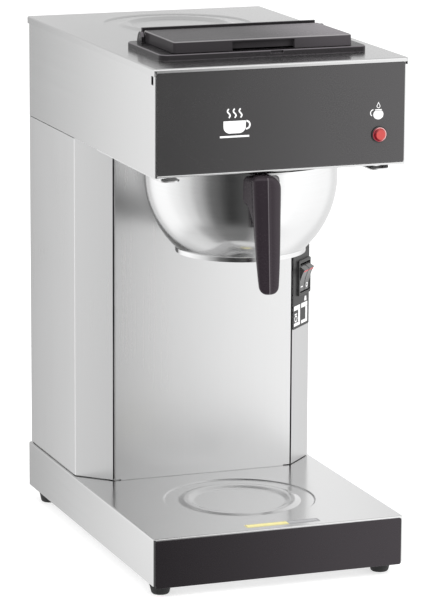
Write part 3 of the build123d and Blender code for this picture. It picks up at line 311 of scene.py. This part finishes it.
M["handle"] = grip_plastic()
M["pin"] = steel("pin_oxide", "X", 0.14, 0.42)
M["switch"] = plastic("switch_moulded", grey(0.050), grey(0.060), 0.20, coat=0.5, relief=1e-6, scale=1500, edge=0.0004, edge_highlight_gain=3.0)
M["bezel"] = plastic("bezel_moulded", grey(0.014), grey(0.020), 0.30, relief=1e-6, scale=1500, edge=0.0006, edge_highlight_gain=14.0)
M["overlay"] = plastic("overlay_film", grey(0.014), grey(0.019), 0.36, relief=1e-6, scale=2500, edge=0)
M["rubber"] = plastic("foot_rubber", grey(0.016), grey(0.026), 0.72, relief=2e-5, scale=1100, edge=0.0008, edge_highlight_gain=2.2)
M["zinc"] = steel("zinc_fastener", "X", 0.52, 0.30, streak=0.12)
M["silicone"] = plastic("silicone_tube", (0.62, 0.62, 0.58), (0.72, 0.71, 0.67), 0.35, relief=2e-6, scale=700, edge=0)
M["gasket"] = plastic("gasket_silicone", (0.40, 0.05, 0.03), (0.48, 0.07, 0.04), 0.45, relief=4e-6, scale=700, edge=0)
M["element"] = steel("element_oxide", "Z", 0.20, 0.45, streak=0.2, smudge=0.15)
M["white_plastic"] = plastic("terminal_moulded", (0.70, 0.69, 0.66), (0.78, 0.77, 0.74), 0.42, relief=4e-6, scale=900, edge=0.0005, edge_highlight_gain=1.1)
M["terminal"] = plastic("terminal_grey", grey(0.10, 0.02), grey(0.14, 0.02), 0.45, relief=4e-6, scale=900, edge=0.0005, edge_highlight_gain=1.3)
M["wire"] = plastic("wire_sleeve", grey(0.05), grey(0.08), 0.5, relief=2e-5, scale=800, edge=0)
M["gland"] = plastic("gland_moulded", grey(0.014), grey(0.02), 0.42, relief=5e-6, scale=1200, edge=0.0006, edge_highlight_gain=2.5)


def lens():
    """Clear red lens: deep red flank, salmon face lit from within, pale rim; flank and rim are painted lighter toward
    the upper right as a painted highlight.
    """
    g = Mat("lamp_lens_red", IOR=1.49, Coat_Weight=0.35, Coat_Roughness=0.05, Specular_IOR_Level=0.4)
    n = g.noise(g.scaled((900, 900, 900)), detail=2)
    c = P(84, 0, 361.5)
    shift = g.node("ShaderNodeVectorMath", (g.place(),), operation="SUBTRACT")
    shift.inputs[1].default_value = (c.x, 0, c.z)
    s = g.node("ShaderNodeSeparateXYZ", (shift.outputs[0],)).outputs
    flat = g.node("ShaderNodeCombineXYZ", (s[0], s[2], None))
    rad = g.node("ShaderNodeVectorMath", (flat.outputs[0],), operation="LENGTH").outputs["Value"]
    turn = g.math("ARCTAN2", s[2], s[0])
    ribs = g.math("SINE", g.math("MULTIPLY", turn, 24.0))
    core = g.span(rad, 0.0036, 0.0044, 1.0, 0.0, True)
    rim = g.span(rad, 0.00515, 0.0054, 0.0, 1.0, True)
    # Painted highlight: this mask lightens the flank and rim toward the upper right.
    right = g.span(g.math("ADD", s[0], g.math("MULTIPLY", s[2], 0.5)), -0.0035, 0.0035, 0.0, 1.0, True)
    flank = g.mix(right, (0.13, 0.0, 0.008), (0.40, 0.055, 0.050))
    flank = g.mix(g.span(ribs, -1, 1, 0.0, 0.22), flank, (0.50, 0.05, 0.05))
    col = g.mix(core, flank, g.mix(n, (0.37, 0.030, 0.027), (0.45, 0.050, 0.045)))
    pale = g.mix(right, (0.34, 0.02, 0.04), (0.74, 0.48, 0.48))
    g.link(g.mix(rim, col, pale), "Base Color")
    g.link(g.span(n, 0.3, 0.7, 0.08, 0.16), "Roughness")
    g.link(g.mix(core, (0.02, 0.0, 0.001), (0.30, 0.02, 0.02)), "Emission Color")
    g.b.inputs["Emission Strength"].default_value = 0.15
    g.link(g.bump(g.math("MULTIPLY", ribs, g.span(rad, 0.0030, 0.0042, 0.0, 1.0)), 6e-5, 0.5), "Normal")
    return g.m


def sticker():
    g = Mat("sticker_film", Specular_IOR_Level=0.5)
    x, y, z = g.axes()
    n = g.noise(g.scaled((300, 300, 300)), detail=3)
    yellow = g.mix(n, (0.90, 0.80, 0.30), (0.96, 0.87, 0.38))
    pale = g.mix(n, (0.36, 0.36, 0.37), (0.46, 0.46, 0.47))
    split = g.math("GREATER_THAN", x, P(11.3, 0, 0).x)
    col = g.mix(split, yellow, pale)
    # thin darker border inside the film's edge
    lo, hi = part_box("deck_sticker")
    dx = g.math("MINIMUM", g.math("SUBTRACT", x, lo.x), g.math("SUBTRACT", hi.x, x))
    dy = g.math("MINIMUM", g.math("SUBTRACT", y, lo.y), g.math("SUBTRACT", hi.y, y))
    near = g.math("MINIMUM", dx, dy)
    line = g.math("MULTIPLY", g.math("GREATER_THAN", near, 0.0004), g.math("LESS_THAN", near, 0.0011))
    col = g.mix(line, col, g.mix(split, (0.34, 0.31, 0.20), (0.13, 0.13, 0.14)))
    g.link(col, "Base Color")
    g.link(g.span(n, 0.3, 0.7, 0.30, 0.42), "Roughness")
    return g.m


M["bezel_dark"] = plastic("lamp_bezel", grey(0.016), grey(0.022), 0.30, relief=1e-6, scale=1500, edge=0.0003, edge_highlight_gain=3.0)
M["lens"] = lens()
M["sticker"] = sticker()

dress = {
    "base_housing": "deck", "base_front_panel": "base_panel", "base_bottom_plate": "inner", "bottom_plate_screws": "zinc",
    "feet": "rubber", "foot_screws": "zinc", "foot_nuts": "zinc", "column_front_panel": "column",
    "column_left_panel": "column", "column_right_panel": "column", "rear_panel": "rear", "rear_screws": "zinc",
    "hood_shell": "side", "hood_bottom_plate": "inner", "hood_front_panel": "panel", "top_panel": "top",
    "lid_frame": "frame", "lid_hinge_pins": "pin", "lid_cover": "lid", "funnel_rails": "rail", "rail_screws": "zinc",
    "funnel_body": "funnel", "funnel_handle": "handle", "handle_screws": "zinc", "filter_rack": "inner",
    "spray_head": "inner", "spray_nut": "silicone", "spray_tube": "silicone", "fill_tube": "silicone",
    "fill_basin": "inner", "tank_body": "inner", "tank_gasket": "gasket", "tank_lid": "inner", "tank_bolts": "zinc",
    "tank_nuts": "zinc", "tank_supports": "inner", "tank_heater": "element", "thermostat": "white_plastic",
    "limit_thermostat": "white_plastic", "lower_warmer_element": "element", "lower_warmer_clamp": "inner",
    "upper_warmer_element": "element", "upper_warmer_clamp": "inner", "switch_overlay": "overlay",
    "switch_housing": "bezel", "switch_pin": "zinc", "rocker_left": "switch", "rocker_right": "switch",
    "lamp_body": "bezel_dark", "lamp_lens": "lens", "lamp_nut": "zinc", "cord_gland": "gland",
    "terminal_block": "terminal", "ground_stud": "zinc", "supply_wires": "wire", "switch_wires": "wire",
    "lamp_wires": "wire", "deck_sticker": "sticker",
}
for name, key in dress.items():
    data = nodes[name].data
    data.materials.clear()
    data.materials.append(M[key])


# ------------------------------------------------------------------ printed marks
def paint():
    g = Mat("printed_white", Specular_IOR_Level=0.4)
    n = g.noise(g.scaled((700, 700, 700)), detail=3)
    g.link(g.mix(n, (0.78, 0.78, 0.78), (0.90, 0.90, 0.90)), "Base Color")
    g.link(g.span(n, 0.3, 0.7, 0.35, 0.5), "Roughness")
    return g.m


M["print"] = paint()


def red_paint():
    g = Mat("printed_red", Specular_IOR_Level=0.4)
    n = g.noise(g.scaled((900, 900, 900)), detail=3)
    g.link(g.mix(n, (0.50, 0.03, 0.05), (0.66, 0.06, 0.08)), "Base Color")
    g.link(g.span(n, 0.3, 0.7, 0.3, 0.5), "Roughness")
    return g.m


M["red_line"] = red_paint()


class Plate:
    """Thin printed shapes on a plane: origin, across and up give the plane; the shapes stand out by a few hundredths."""

    def __init__(self, name, origin, across, up, thick=0.00006, lift=0.00001):
        self.name, self.o, self.x, self.y = name, Vector(origin), Vector(across).normalized(), Vector(up).normalized()
        self.n = self.x.cross(self.y)
        self.thick, self.lift = thick, lift
        self.bm = bmesh.new()

    def at(self, p, out):
        return self.o + self.x * (p[0] / 1000) + self.y * (p[1] / 1000) + self.n * out

    def shape(self, pts):
        """A filled outline, anticlockwise, in millimetres."""
        low = [self.bm.verts.new(self.at(p, self.lift)) for p in pts]
        top = [self.bm.verts.new(self.at(p, self.lift + self.thick)) for p in pts]
        self.bm.faces.new(top)
        self.bm.faces.new(low[::-1])
        for i in range(len(pts)):
            j = (i + 1) % len(pts)
            self.bm.faces.new((low[i], low[j], top[j], top[i]))

    def line(self, pts, w, closed=False):
        """A stroke of width w along pts."""
        pts = [Vector(p) for p in pts]
        k = len(pts)
        left, right = [], []
        for i, p in enumerate(pts):
            a = pts[i - 1] if (i or closed) else p
            b = pts[(i + 1) % k] if (i < k - 1 or closed) else p
            u = (p - a).normalized() if (p - a).length > 1e-9 else (b - p).normalized()
            v = (b - p).normalized() if (b - p).length > 1e-9 else u
            n1, n2 = Vector((-u.y, u.x)), Vector((-v.y, v.x))
            s = n1 + n2
            s = s * (1.0 / max(s.length_squared, 0.5))
            left.append(p + s * w)
            right.append(p - s * w)
        rows = [[self.bm.verts.new(self.at(p, out)) for p in side] for side in (left, right)
                for out in (self.lift, self.lift + self.thick)]
        ll, lt, rl, rt = rows
        for i in range(k if closed else k - 1):
            j = (i + 1) % k
            self.bm.faces.new((rt[i], rt[j], lt[j], lt[i]))
            self.bm.faces.new((ll[i], ll[j], rl[j], rl[i]))
            self.bm.faces.new((lt[i], lt[j], ll[j], ll[i]))
            self.bm.faces.new((rl[i], rl[j], rt[j], rt[i]))
        if not closed:
            self.bm.faces.new((lt[0], ll[0], rl[0], rt[0]))
            self.bm.faces.new((rt[-1], rl[-1], ll[-1], lt[-1]))

    def disc(self, c, r, n=40, squash=1.0):
        self.shape([(c[0] + r * math.cos(2 * math.pi * i / n), c[1] + r * squash * math.sin(2 * math.pi * i / n)) for i in range(n)])

    def ring(self, c, r, w, n=40):
        self.line([(c[0] + r * math.cos(2 * math.pi * i / n), c[1] + r * math.sin(2 * math.pi * i / n)) for i in range(n)], w, True)

    def done(self, material, body, slot):
        bmesh.ops.recalc_face_normals(self.bm, faces=self.bm.faces)
        me = bpy.data.meshes.new(self.name)
        self.bm.to_mesh(me)
        self.bm.free()
        ob = bpy.data.objects.new(self.name, me)
        bpy.context.scene.collection.objects.link(ob)
        me.materials.append(material)
        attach(ob, body)
        return ob


def arc(cx, cy, r, a0, a1, n=16, ry=None):
    ry = r if ry is None else ry
    return [(cx + r * math.cos(math.radians(a0 + (a1 - a0) * i / n)), cy + ry * math.sin(math.radians(a0 + (a1 - a0) * i / n)))
            for i in range(n + 1)]


# drop over a pot, above the lamp
face = P(83.2, 3.4, 379.0)
p = Plate("hood_brew_mark", face, (1, 0, 0), (0, 0, 1))
body = arc(0, -1.2, 4.4, 128, 412, 40, 4.0)
p.shape(body)
p.line([(-2.9, 2.75), (2.9, 2.75)], 0.7)
p.line(arc(-4.2, 0.2, 2.7, 95, 235, 14), 0.75)
drop = [(0, 8.6)] + arc(0, 5.6, 1.35, 30, -210, 18)
p.line(drop, 0.5, True)
p.done(M["print"], "chassis", "overlay_black")

# plain steaming cup in the middle of the dark panel
face = P(-41, 3.4, 377.0)
p = Plate("hood_cup_mark", face, (1, 0, 0), (0, 0, 1))
cup = [(-9.5, 2.0)] + [(-9.5, -1.5)] + arc(-4.0, -2.5, 5.5, 190, 270, 10) + arc(4.0, -2.5, 5.5, 270, 350, 10) + [(9.5, -1.5), (9.5, 2.0)]
p.shape(cup)
p.line(arc(9.8, -1.6, 3.2, 88, -95, 16), 1.3)
p.line([(-12.5, -10.6), (12.5, -10.6)], 1.5)
for k in (-5.0, 0.0, 5.0):
    p.line([(k + 1.15 * math.sin(t / 12 * 2 * math.pi), 4.6 + 7.2 * t / 12) for t in range(13)], 1.15)
p.done(M["print"], "chassis", "overlay_black")

# two machine pictograms on the switch film
H = math.sqrt(0.5)
ACROSS, OUTWARD = Vector((H, H, 0)), Vector((H, -H, 0))


def chamfer(a, h, out=0.4):
    """A point on the right chamfer: a along it from its inner corner, h up, out from its face."""
    return P(81.7, 184.6, h) + ACROSS * (a / 1000) + OUTWARD * (out / 1000)


p = Plate("switch_marks", chamfer(0, 0), ACROSS, (0, 0, 1))
for a0, cup_low in ((3.6, True), (19.4, False)):
    a1 = a0 + 13.2
    p.shape([(a0, 176.4), (a1, 176.4), (a1, 180.4), (a0, 180.4)])
    p.shape([(a1 - 4.0, 165.4), (a1, 165.4), (a1, 176.2), (a1 - 4.0, 176.2)])
    p.shape([(a0 + 0.2, 162.4), (a1, 162.4), (a1, 165.2), (a0 + 0.2, 165.2)])
    if cup_low:
        p.ring((a0 + 4.1, 168.9), 2.5, 1.2)
        p.line([(a0 + 1.4, 173.0), (a0 + 6.6, 173.0)], 1.2)
    else:
        p.shape([(a1 - 6.8, 181.6), (a1 - 1.6, 181.6), (a1 - 2.6, 185.6), (a1 - 5.8, 185.6)])
p.done(M["print"], "chassis", "overlay_black")


# a bar on one rocker and a ring on the other, near their lower ends, and a red line along each upper ridge
PIV = P(81.7, 184.6, 204.0) + ACROSS * 0.0233 - OUTWARD * 0.0051
LEAN = math.radians(14.0)
UPV = Vector((0, 0, 1)) * math.cos(LEAN) + OUTWARD * math.sin(LEAN)
OUTV = OUTWARD * math.cos(LEAN) - Vector((0, 0, 1)) * math.sin(LEAN)


def rocker_face(v):
    """Height of the dished rocker face above its pivot, at v along it."""
    r = (10.2 ** 2 + 1.5 ** 2) / 3.0
    return 7.7 + r - math.sqrt(r * r - v * v)


for name, body, mid in (("rocker_left_mark", "rocker_left", -5.55), ("rocker_right_mark", "rocker_right", 5.55)):
    v0 = -6.4
    tip = math.asin(v0 / ((10.2 ** 2 + 1.5 ** 2) / 3.0))
    along = (UPV * math.cos(tip) + OUTV * math.sin(tip)).normalized()
    p = Plate(name, PIV + ACROSS * (mid / 1000) + UPV * (v0 / 1000) + OUTV * ((rocker_face(v0) + 0.02) / 1000), ACROSS, along)
    if mid < 0:
        p.line([(-2.2, 0.0), (2.2, 0.0)], 1.1)
    else:
        p.ring((0, 0), 1.7, 0.95)
    p.done(M["print"], body, "switch_black")
    p = Plate(name.replace("mark", "line"), PIV + ACROSS * (mid / 1000) + UPV * 0.0086 + OUTV * ((rocker_face(8.6) + 0.03) / 1000), ACROSS,
              (UPV + OUTV * 0.25).normalized())
    p.shape([(-4.3, -0.7), (4.3, -0.7), (4.3, 0.7), (-4.3, 0.7)])
    p.done(M["red_line"], body, "lens_red")


# ------------------------------------------------------------------ funnel grip
TR = math.radians(8.5)
OUT, SIDE = Vector((-math.sin(TR), -math.cos(TR), 0)), Vector((math.cos(TR), -math.sin(TR), 0))
GRIP = [(333.6, 103.3, 89.0, 23.6), (318.0, 105.0, 89.6, 23.4), (300.0, 107.0, 91.8, 22.2), (283.0, 108.8, 95.6, 21.0),
        (266.0, 110.6, 99.8, 19.4), (252.0, 112.1, 103.2, 17.6), (238.6, 113.4, 105.9, 15.6)]


def grip_at(h):
    """Outer distance, inner distance and width of the grip at a height, smoothly between its sections."""
    rows = GRIP[::-1]
    for i in range(len(rows) - 1):
        if h <= rows[i + 1][0]:
            break
    p0, p1, p2, p3 = (rows[max(0, min(len(rows) - 1, k))] for k in (i - 1, i, i + 1, i + 2))
    t = (h - p1[0]) / (p2[0] - p1[0])

    def spline(k):
        return 0.5 * (2 * p1[k] + (p2[k] - p0[k]) * t + (2 * p0[k] - 5 * p1[k] + 4 * p2[k] - p3[k]) * t * t
                      + (3 * p1[k] - p0[k] - 3 * p2[k] + p3[k]) * t ** 3)

    return [spline(k) for k in (1, 2, 3)]


def round_in(s, r):
    """How far a corner of radius r has drawn in, at a distance s from its end."""
    return 0.0 if s >= r else r - math.sqrt(max(0.0, r * r - (r - s) ** 2))


def grip_mesh():
    bm = bmesh.new()
    low, high, count = 238.6, 333.6, 72
    levels = [low + (high - low) * (0.5 - 0.5 * math.cos(math.pi * (k / 90))) for k in range(1, 90)]
    rings = []
    for h in levels:
        u1, u0, w = grip_at(h)
        st, sb = high - h, h - low
        right = w / 2 - round_in(st, 10.5) - round_in(sb, 6.4)
        left = w / 2 - round_in(st, 5.0) - round_in(sb, 6.4)
        f = round_in(st, 3.6) + round_in(sb, 3.4)
        b = round_in(st, 3.2) + round_in(sb, 3.4)
        mid, half = (u1 + u0) / 2, (u1 - u0) / 2
        ring = []
        for k in range(count):
            a = 2 * math.pi * k / count
            c, s = math.cos(a), math.sin(a)
            e = 2 / 3.0
            v = (right if c > 0 else left) * math.copysign(abs(c) ** e, c)
            q = math.copysign(abs(s) ** e, s)
            u = mid + q * half - (f if q > 0 else -b) * abs(q)
            if q > 0:
                u -= q * 1.0 * abs(v) / (w / 2)
                u += q * (0.35 * math.exp(-(v / 0.9) ** 2) - 0.45)
            ring.append(bm.verts.new(Vector((0, 97 - D_MID, h + FOOT_DROP)) / 1000 + OUT * (u / 1000) + SIDE * (v / 1000)))
        rings.append(ring)
    for r0, r1 in zip(rings, rings[1:]):
        for k in range(count):
            j = (k + 1) % count
            bm.faces.new((r0[k], r0[j], r1[j], r1[k]))
    bm.faces.new(rings[0][::-1])
    bm.faces.new(rings[-1])
    # web back to the funnel wall: a broad pad on the wall that narrows and deepens toward the grip
    arm = []
    for k in range(25):
        t = k / 24
        ease = t * t * (3 - 2 * t)
        half_w, half_h = 15.2 + (8.8 - 15.2) * t ** 0.7, 12.3 + (22.0 - 12.3) * ease
        mid_h, r = 318.6 + (309.5 - 318.6) * ease, 4.5 + 1.2 * t
        ring = []
        for sx, sz, a0 in ((1, 1, 0), (-1, 1, 90), (-1, -1, 180), (1, -1, 270)):
            for q in range(0, 91, 15):
                v = sx * (half_w - r) + r * math.cos(math.radians(a0 + q))
                h = mid_h + sz * (half_h - r) + r * math.sin(math.radians(a0 + q))
                inner = math.sqrt(80.45 ** 2 - v * v)
                reach = grip_at(max(239.0, min(333.0, h)))[1] + 4.5
                u = inner + (reach - inner) * t
                ring.append(bm.verts.new(Vector((0, 97 - D_MID, h + FOOT_DROP)) / 1000 + OUT * (u / 1000) + SIDE * (v / 1000)))
        arm.append(ring)
    outline = arm[0]
    n = len(outline)
    for r0, r1 in zip(arm, arm[1:]):
        for k in range(n):
            j = (k + 1) % n
            bm.faces.new((r0[k], r0[j], r1[j], r1[k]))
    bm.faces.new(arm[0][::-1])
    bm.faces.new(arm[-1])
    bmesh.ops.recalc_face_normals(bm, faces=bm.faces)
    me = bpy.data.meshes.new("funnel_grip_raw")
    bm.to_mesh(me)
    bm.free()
    raw = bpy.data.objects.new("funnel_grip_raw", me)
    bpy.context.scene.collection.objects.link(raw)
    rm = raw.modifiers.new("join", "REMESH")
    rm.mode, rm.voxel_size, rm.use_smooth_shade = "VOXEL", 0.00045, True
    sm = raw.modifiers.new("blend", "SMOOTH")
    sm.factor, sm.iterations = 0.5, 7
    bpy.context.view_layer.update()
    done = bpy.data.meshes.new_from_object(raw.evaluated_get(bpy.context.evaluated_depsgraph_get()))
    bpy.data.objects.remove(raw)
    return done


grip = bpy.data.objects.new("funnel_grip", grip_mesh())
bpy.context.scene.collection.objects.link(grip)
grip.data.materials.clear()
grip.data.materials.append(M["handle"])
grip.data.shade_smooth()
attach(grip, "funnel")
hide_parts("funnel_handle")

# ------------------------------------------------------------------ light and floor
scene = bpy.context.scene
scene.view_settings.view_transform = "Standard"
scene.view_settings.look = "None"
scene.view_settings.exposure = 0.0
scene.view_settings.gamma = 1.0

world = bpy.data.worlds.new("studio")
scene.world = world
world.use_nodes = True
wt = world.node_tree
wt.nodes.clear()
wo = wt.nodes.new("ShaderNodeOutputWorld")
seen = wt.nodes.new("ShaderNodeBackground")
seen.inputs[0].default_value = (1, 1, 1, 1)
seen.inputs[1].default_value = 1.05
felt = wt.nodes.new("ShaderNodeBackground")
felt.inputs[0].default_value = (1, 1, 1, 1)
felt.inputs[1].default_value = 0.85
lp = wt.nodes.new("ShaderNodeLightPath")
mixw = wt.nodes.new("ShaderNodeMixShader")
wt.links.new(lp.outputs["Is Camera Ray"], mixw.inputs[0])
wt.links.new(felt.outputs[0], mixw.inputs[1])
wt.links.new(seen.outputs[0], mixw.inputs[2])
wt.links.new(mixw.outputs[0], wo.inputs[0])


def area(name, where, at, size, power, size_y=None):
    light = bpy.data.lights.new(name, "AREA")
    light.energy = power
    light.shape = "RECTANGLE"
    light.size, light.size_y = size, size_y or size
    ob = bpy.data.objects.new(name, light)
    scene.collection.objects.link(ob)
    ob.location = where
    ob.rotation_mode = "QUATERNION"
    ob.rotation_quaternion = (Vector(at) - Vector(where)).to_track_quat("-Z", "Y")
    ob.visible_camera = False
    ob.visible_glossy = False
    return ob


area("key", (1.2, -1.5, 1.3), (0, 0, 0.2), 1.2, 20)
area("fill", (-1.4, -1.0, 1.2), (0, 0, 0.25), 1.2, 9)
area("over", (0.0, 0.3, 1.9), (0, 0, 0.2), 1.6, 12)

# soft panels all round, seen only in reflections: value by compass direction, 0 at the front, positive to the right
PANELS = [(-180, 0.80), (-172, 0.74), (-164, 0.54), (-157, 0.58), (-150, 0.93), (-143, 1.24), (-130, 1.36), (-112, 1.38),
          (-96, 1.20), (-76, 0.95), (-64, 0.58), (-47, 0.17), (-28, 0.05), (-12, 0.10), (4, 0.42), (13, 0.84), (21, 1.32),
          (30, 1.54), (48, 1.40), (90, 1.30), (112, 0.98), (135, 0.98), (148, 1.12), (158, 1.08), (168, 0.90), (180, 0.80)]
HIGH = [(-180, 0.80), (-160, 0.84), (-135, 0.95), (-90, 1.30), (-30, 1.60), (30, 1.60), (48, 1.10), (90, 1.05), (120, 0.95), (136, 0.84), (146, 0.80),
        (153, 0.74), (162, 0.71), (172, 0.75), (180, 0.80)]
LOW = [(-180, 0.60), (-150, 0.80), (-125, 1.00), (-95, 0.92), (-70, 0.44), (-45, 0.24), (-10, 0.22), (15, 0.50), (45, 1.30), (90, 1.35),
       (135, 1.00), (180, 0.60)]
PEAK = 1.9
tent_mesh = bpy.data.meshes.new("soft_panels")
tb = bmesh.new()
RC = 0.55
rows = []
for i in range(128):
    a = 2 * math.pi * i / 128
    rows.append([tb.verts.new((RC * math.cos(a), RC * math.sin(a), z)) for z in (-1.2, 1.1)])
for i in range(128):
    j = (i + 1) % 128
    tb.faces.new((rows[i][0], rows[i][1], rows[j][1], rows[j][0]))
tb.to_mesh(tent_mesh)
tb.free()
tent = bpy.data.objects.new("soft_panels", tent_mesh)
scene.collection.objects.link(tent)
tm = bpy.data.materials.new("soft_panels")
tm.use_nodes = True
tt = tm.node_tree
tt.nodes.clear()
tout = tt.nodes.new("ShaderNodeOutputMaterial")
tem = tt.nodes.new("ShaderNodeEmission")
tt.links.new(tem.outputs[0], tout.inputs[0])
tco = tt.nodes.new("ShaderNodeTexCoord")
tse = tt.nodes.new("ShaderNodeSeparateXYZ")
tt.links.new(tco.outputs["Object"], tse.inputs[0])
neg = tt.nodes.new("ShaderNodeMath")
neg.operation = "MULTIPLY"
neg.inputs[1].default_value = -1
tt.links.new(tse.outputs[1], neg.inputs[0])
ata = tt.nodes.new("ShaderNodeMath")
ata.operation = "ARCTAN2"
tt.links.new(tse.outputs[0], ata.inputs[0])
tt.links.new(neg.outputs[0], ata.inputs[1])
tmr = tt.nodes.new("ShaderNodeMapRange")
tmr.inputs[1].default_value, tmr.inputs[2].default_value = -math.pi, math.pi
tt.links.new(ata.outputs[0], tmr.inputs[0])
def around(values):
    """Grey level by compass direction, out of PEAK."""
    r = tt.nodes.new("ShaderNodeValToRGB")
    r.color_ramp.interpolation = "EASE"
    while len(r.color_ramp.elements) < len(values):
        r.color_ramp.elements.new(0.5)
    for el, (deg, val) in zip(r.color_ramp.elements, values):
        el.position = (deg + 180) / 360
    for el, (deg, val) in zip(r.color_ramp.elements, values):
        el.color = (val / PEAK, val / PEAK, val / PEAK, 1)
    tt.links.new(tmr.outputs[0], r.inputs[0])
    return r.outputs[0]


rise = tt.nodes.new("ShaderNodeMapRange")
rise.interpolation_type = "SMOOTHSTEP"
for i, v in ((1, 0.44), (2, 0.53), (3, 0.0), (4, 1.0)):
    rise.inputs[i].default_value = v
tt.links.new(tse.outputs[2], rise.inputs[0])
blend = tt.nodes.new("ShaderNodeMix")
blend.data_type = "RGBA"
tt.links.new(rise.outputs[0], blend.inputs[0])
tt.links.new(around(PANELS), blend.inputs[6])
tt.links.new(around(HIGH), blend.inputs[7])
tzr = tt.nodes.new("ShaderNodeMapRange")
tzr.interpolation_type = "SMOOTHSTEP"
for i, v in ((1, -0.25), (2, 0.35), (3, 0.95 * PEAK), (4, 1.0 * PEAK)):
    tzr.inputs[i].default_value = v
tt.links.new(tse.outputs[2], tzr.inputs[0])
fall = tt.nodes.new("ShaderNodeMapRange")
fall.interpolation_type = "SMOOTHSTEP"
for i, v in ((1, -0.38), (2, -0.10), (3, 0.0), (4, 1.0)):
    fall.inputs[i].default_value = v
tt.links.new(tse.outputs[2], fall.inputs[0])
under = tt.nodes.new("ShaderNodeMix")
under.data_type = "RGBA"
tt.links.new(fall.outputs[0], under.inputs[0])
tt.links.new(around(LOW), under.inputs[6])
tt.links.new(blend.outputs[2], under.inputs[7])
tt.links.new(under.outputs[2], tem.inputs[0])
tt.links.new(tzr.outputs[0], tem.inputs[1])
tent_mesh.materials.append(tm)
tm.cycles.emission_sampling = "NONE"
for flag in ("visible_camera", "visible_diffuse", "visible_shadow", "visible_transmission", "visible_volume_scatter"):
    setattr(tent, flag, False)

floor_mesh = bpy.data.meshes.new("floor")
fb = bmesh.new()
for i in range(64):
    a = 2 * math.pi * i / 64
    fb.verts.new((12 * math.cos(a), 12 * math.sin(a), 0))
fb.faces.new(fb.verts)
fb.to_mesh(floor_mesh)
fb.free()
floor = bpy.data.objects.new("floor", floor_mesh)
scene.collection.objects.link(floor)
g = Mat("floor_sweep", Roughness=0.9, Specular_IOR_Level=0.1)
n = g.noise(g.scaled((3, 3, 3)), detail=3)
g.link(g.mix(n, (0.62, 0.62, 0.62), (0.64, 0.64, 0.64)), "Base Color")
g.b.inputs["Emission Color"].default_value = (1, 1, 1, 1)
g.b.inputs["Emission Strength"].default_value = 0.60
floor_mesh.materials.append(g.m)
g.m.cycles.emission_sampling = "NONE"
floor.visible_glossy = False
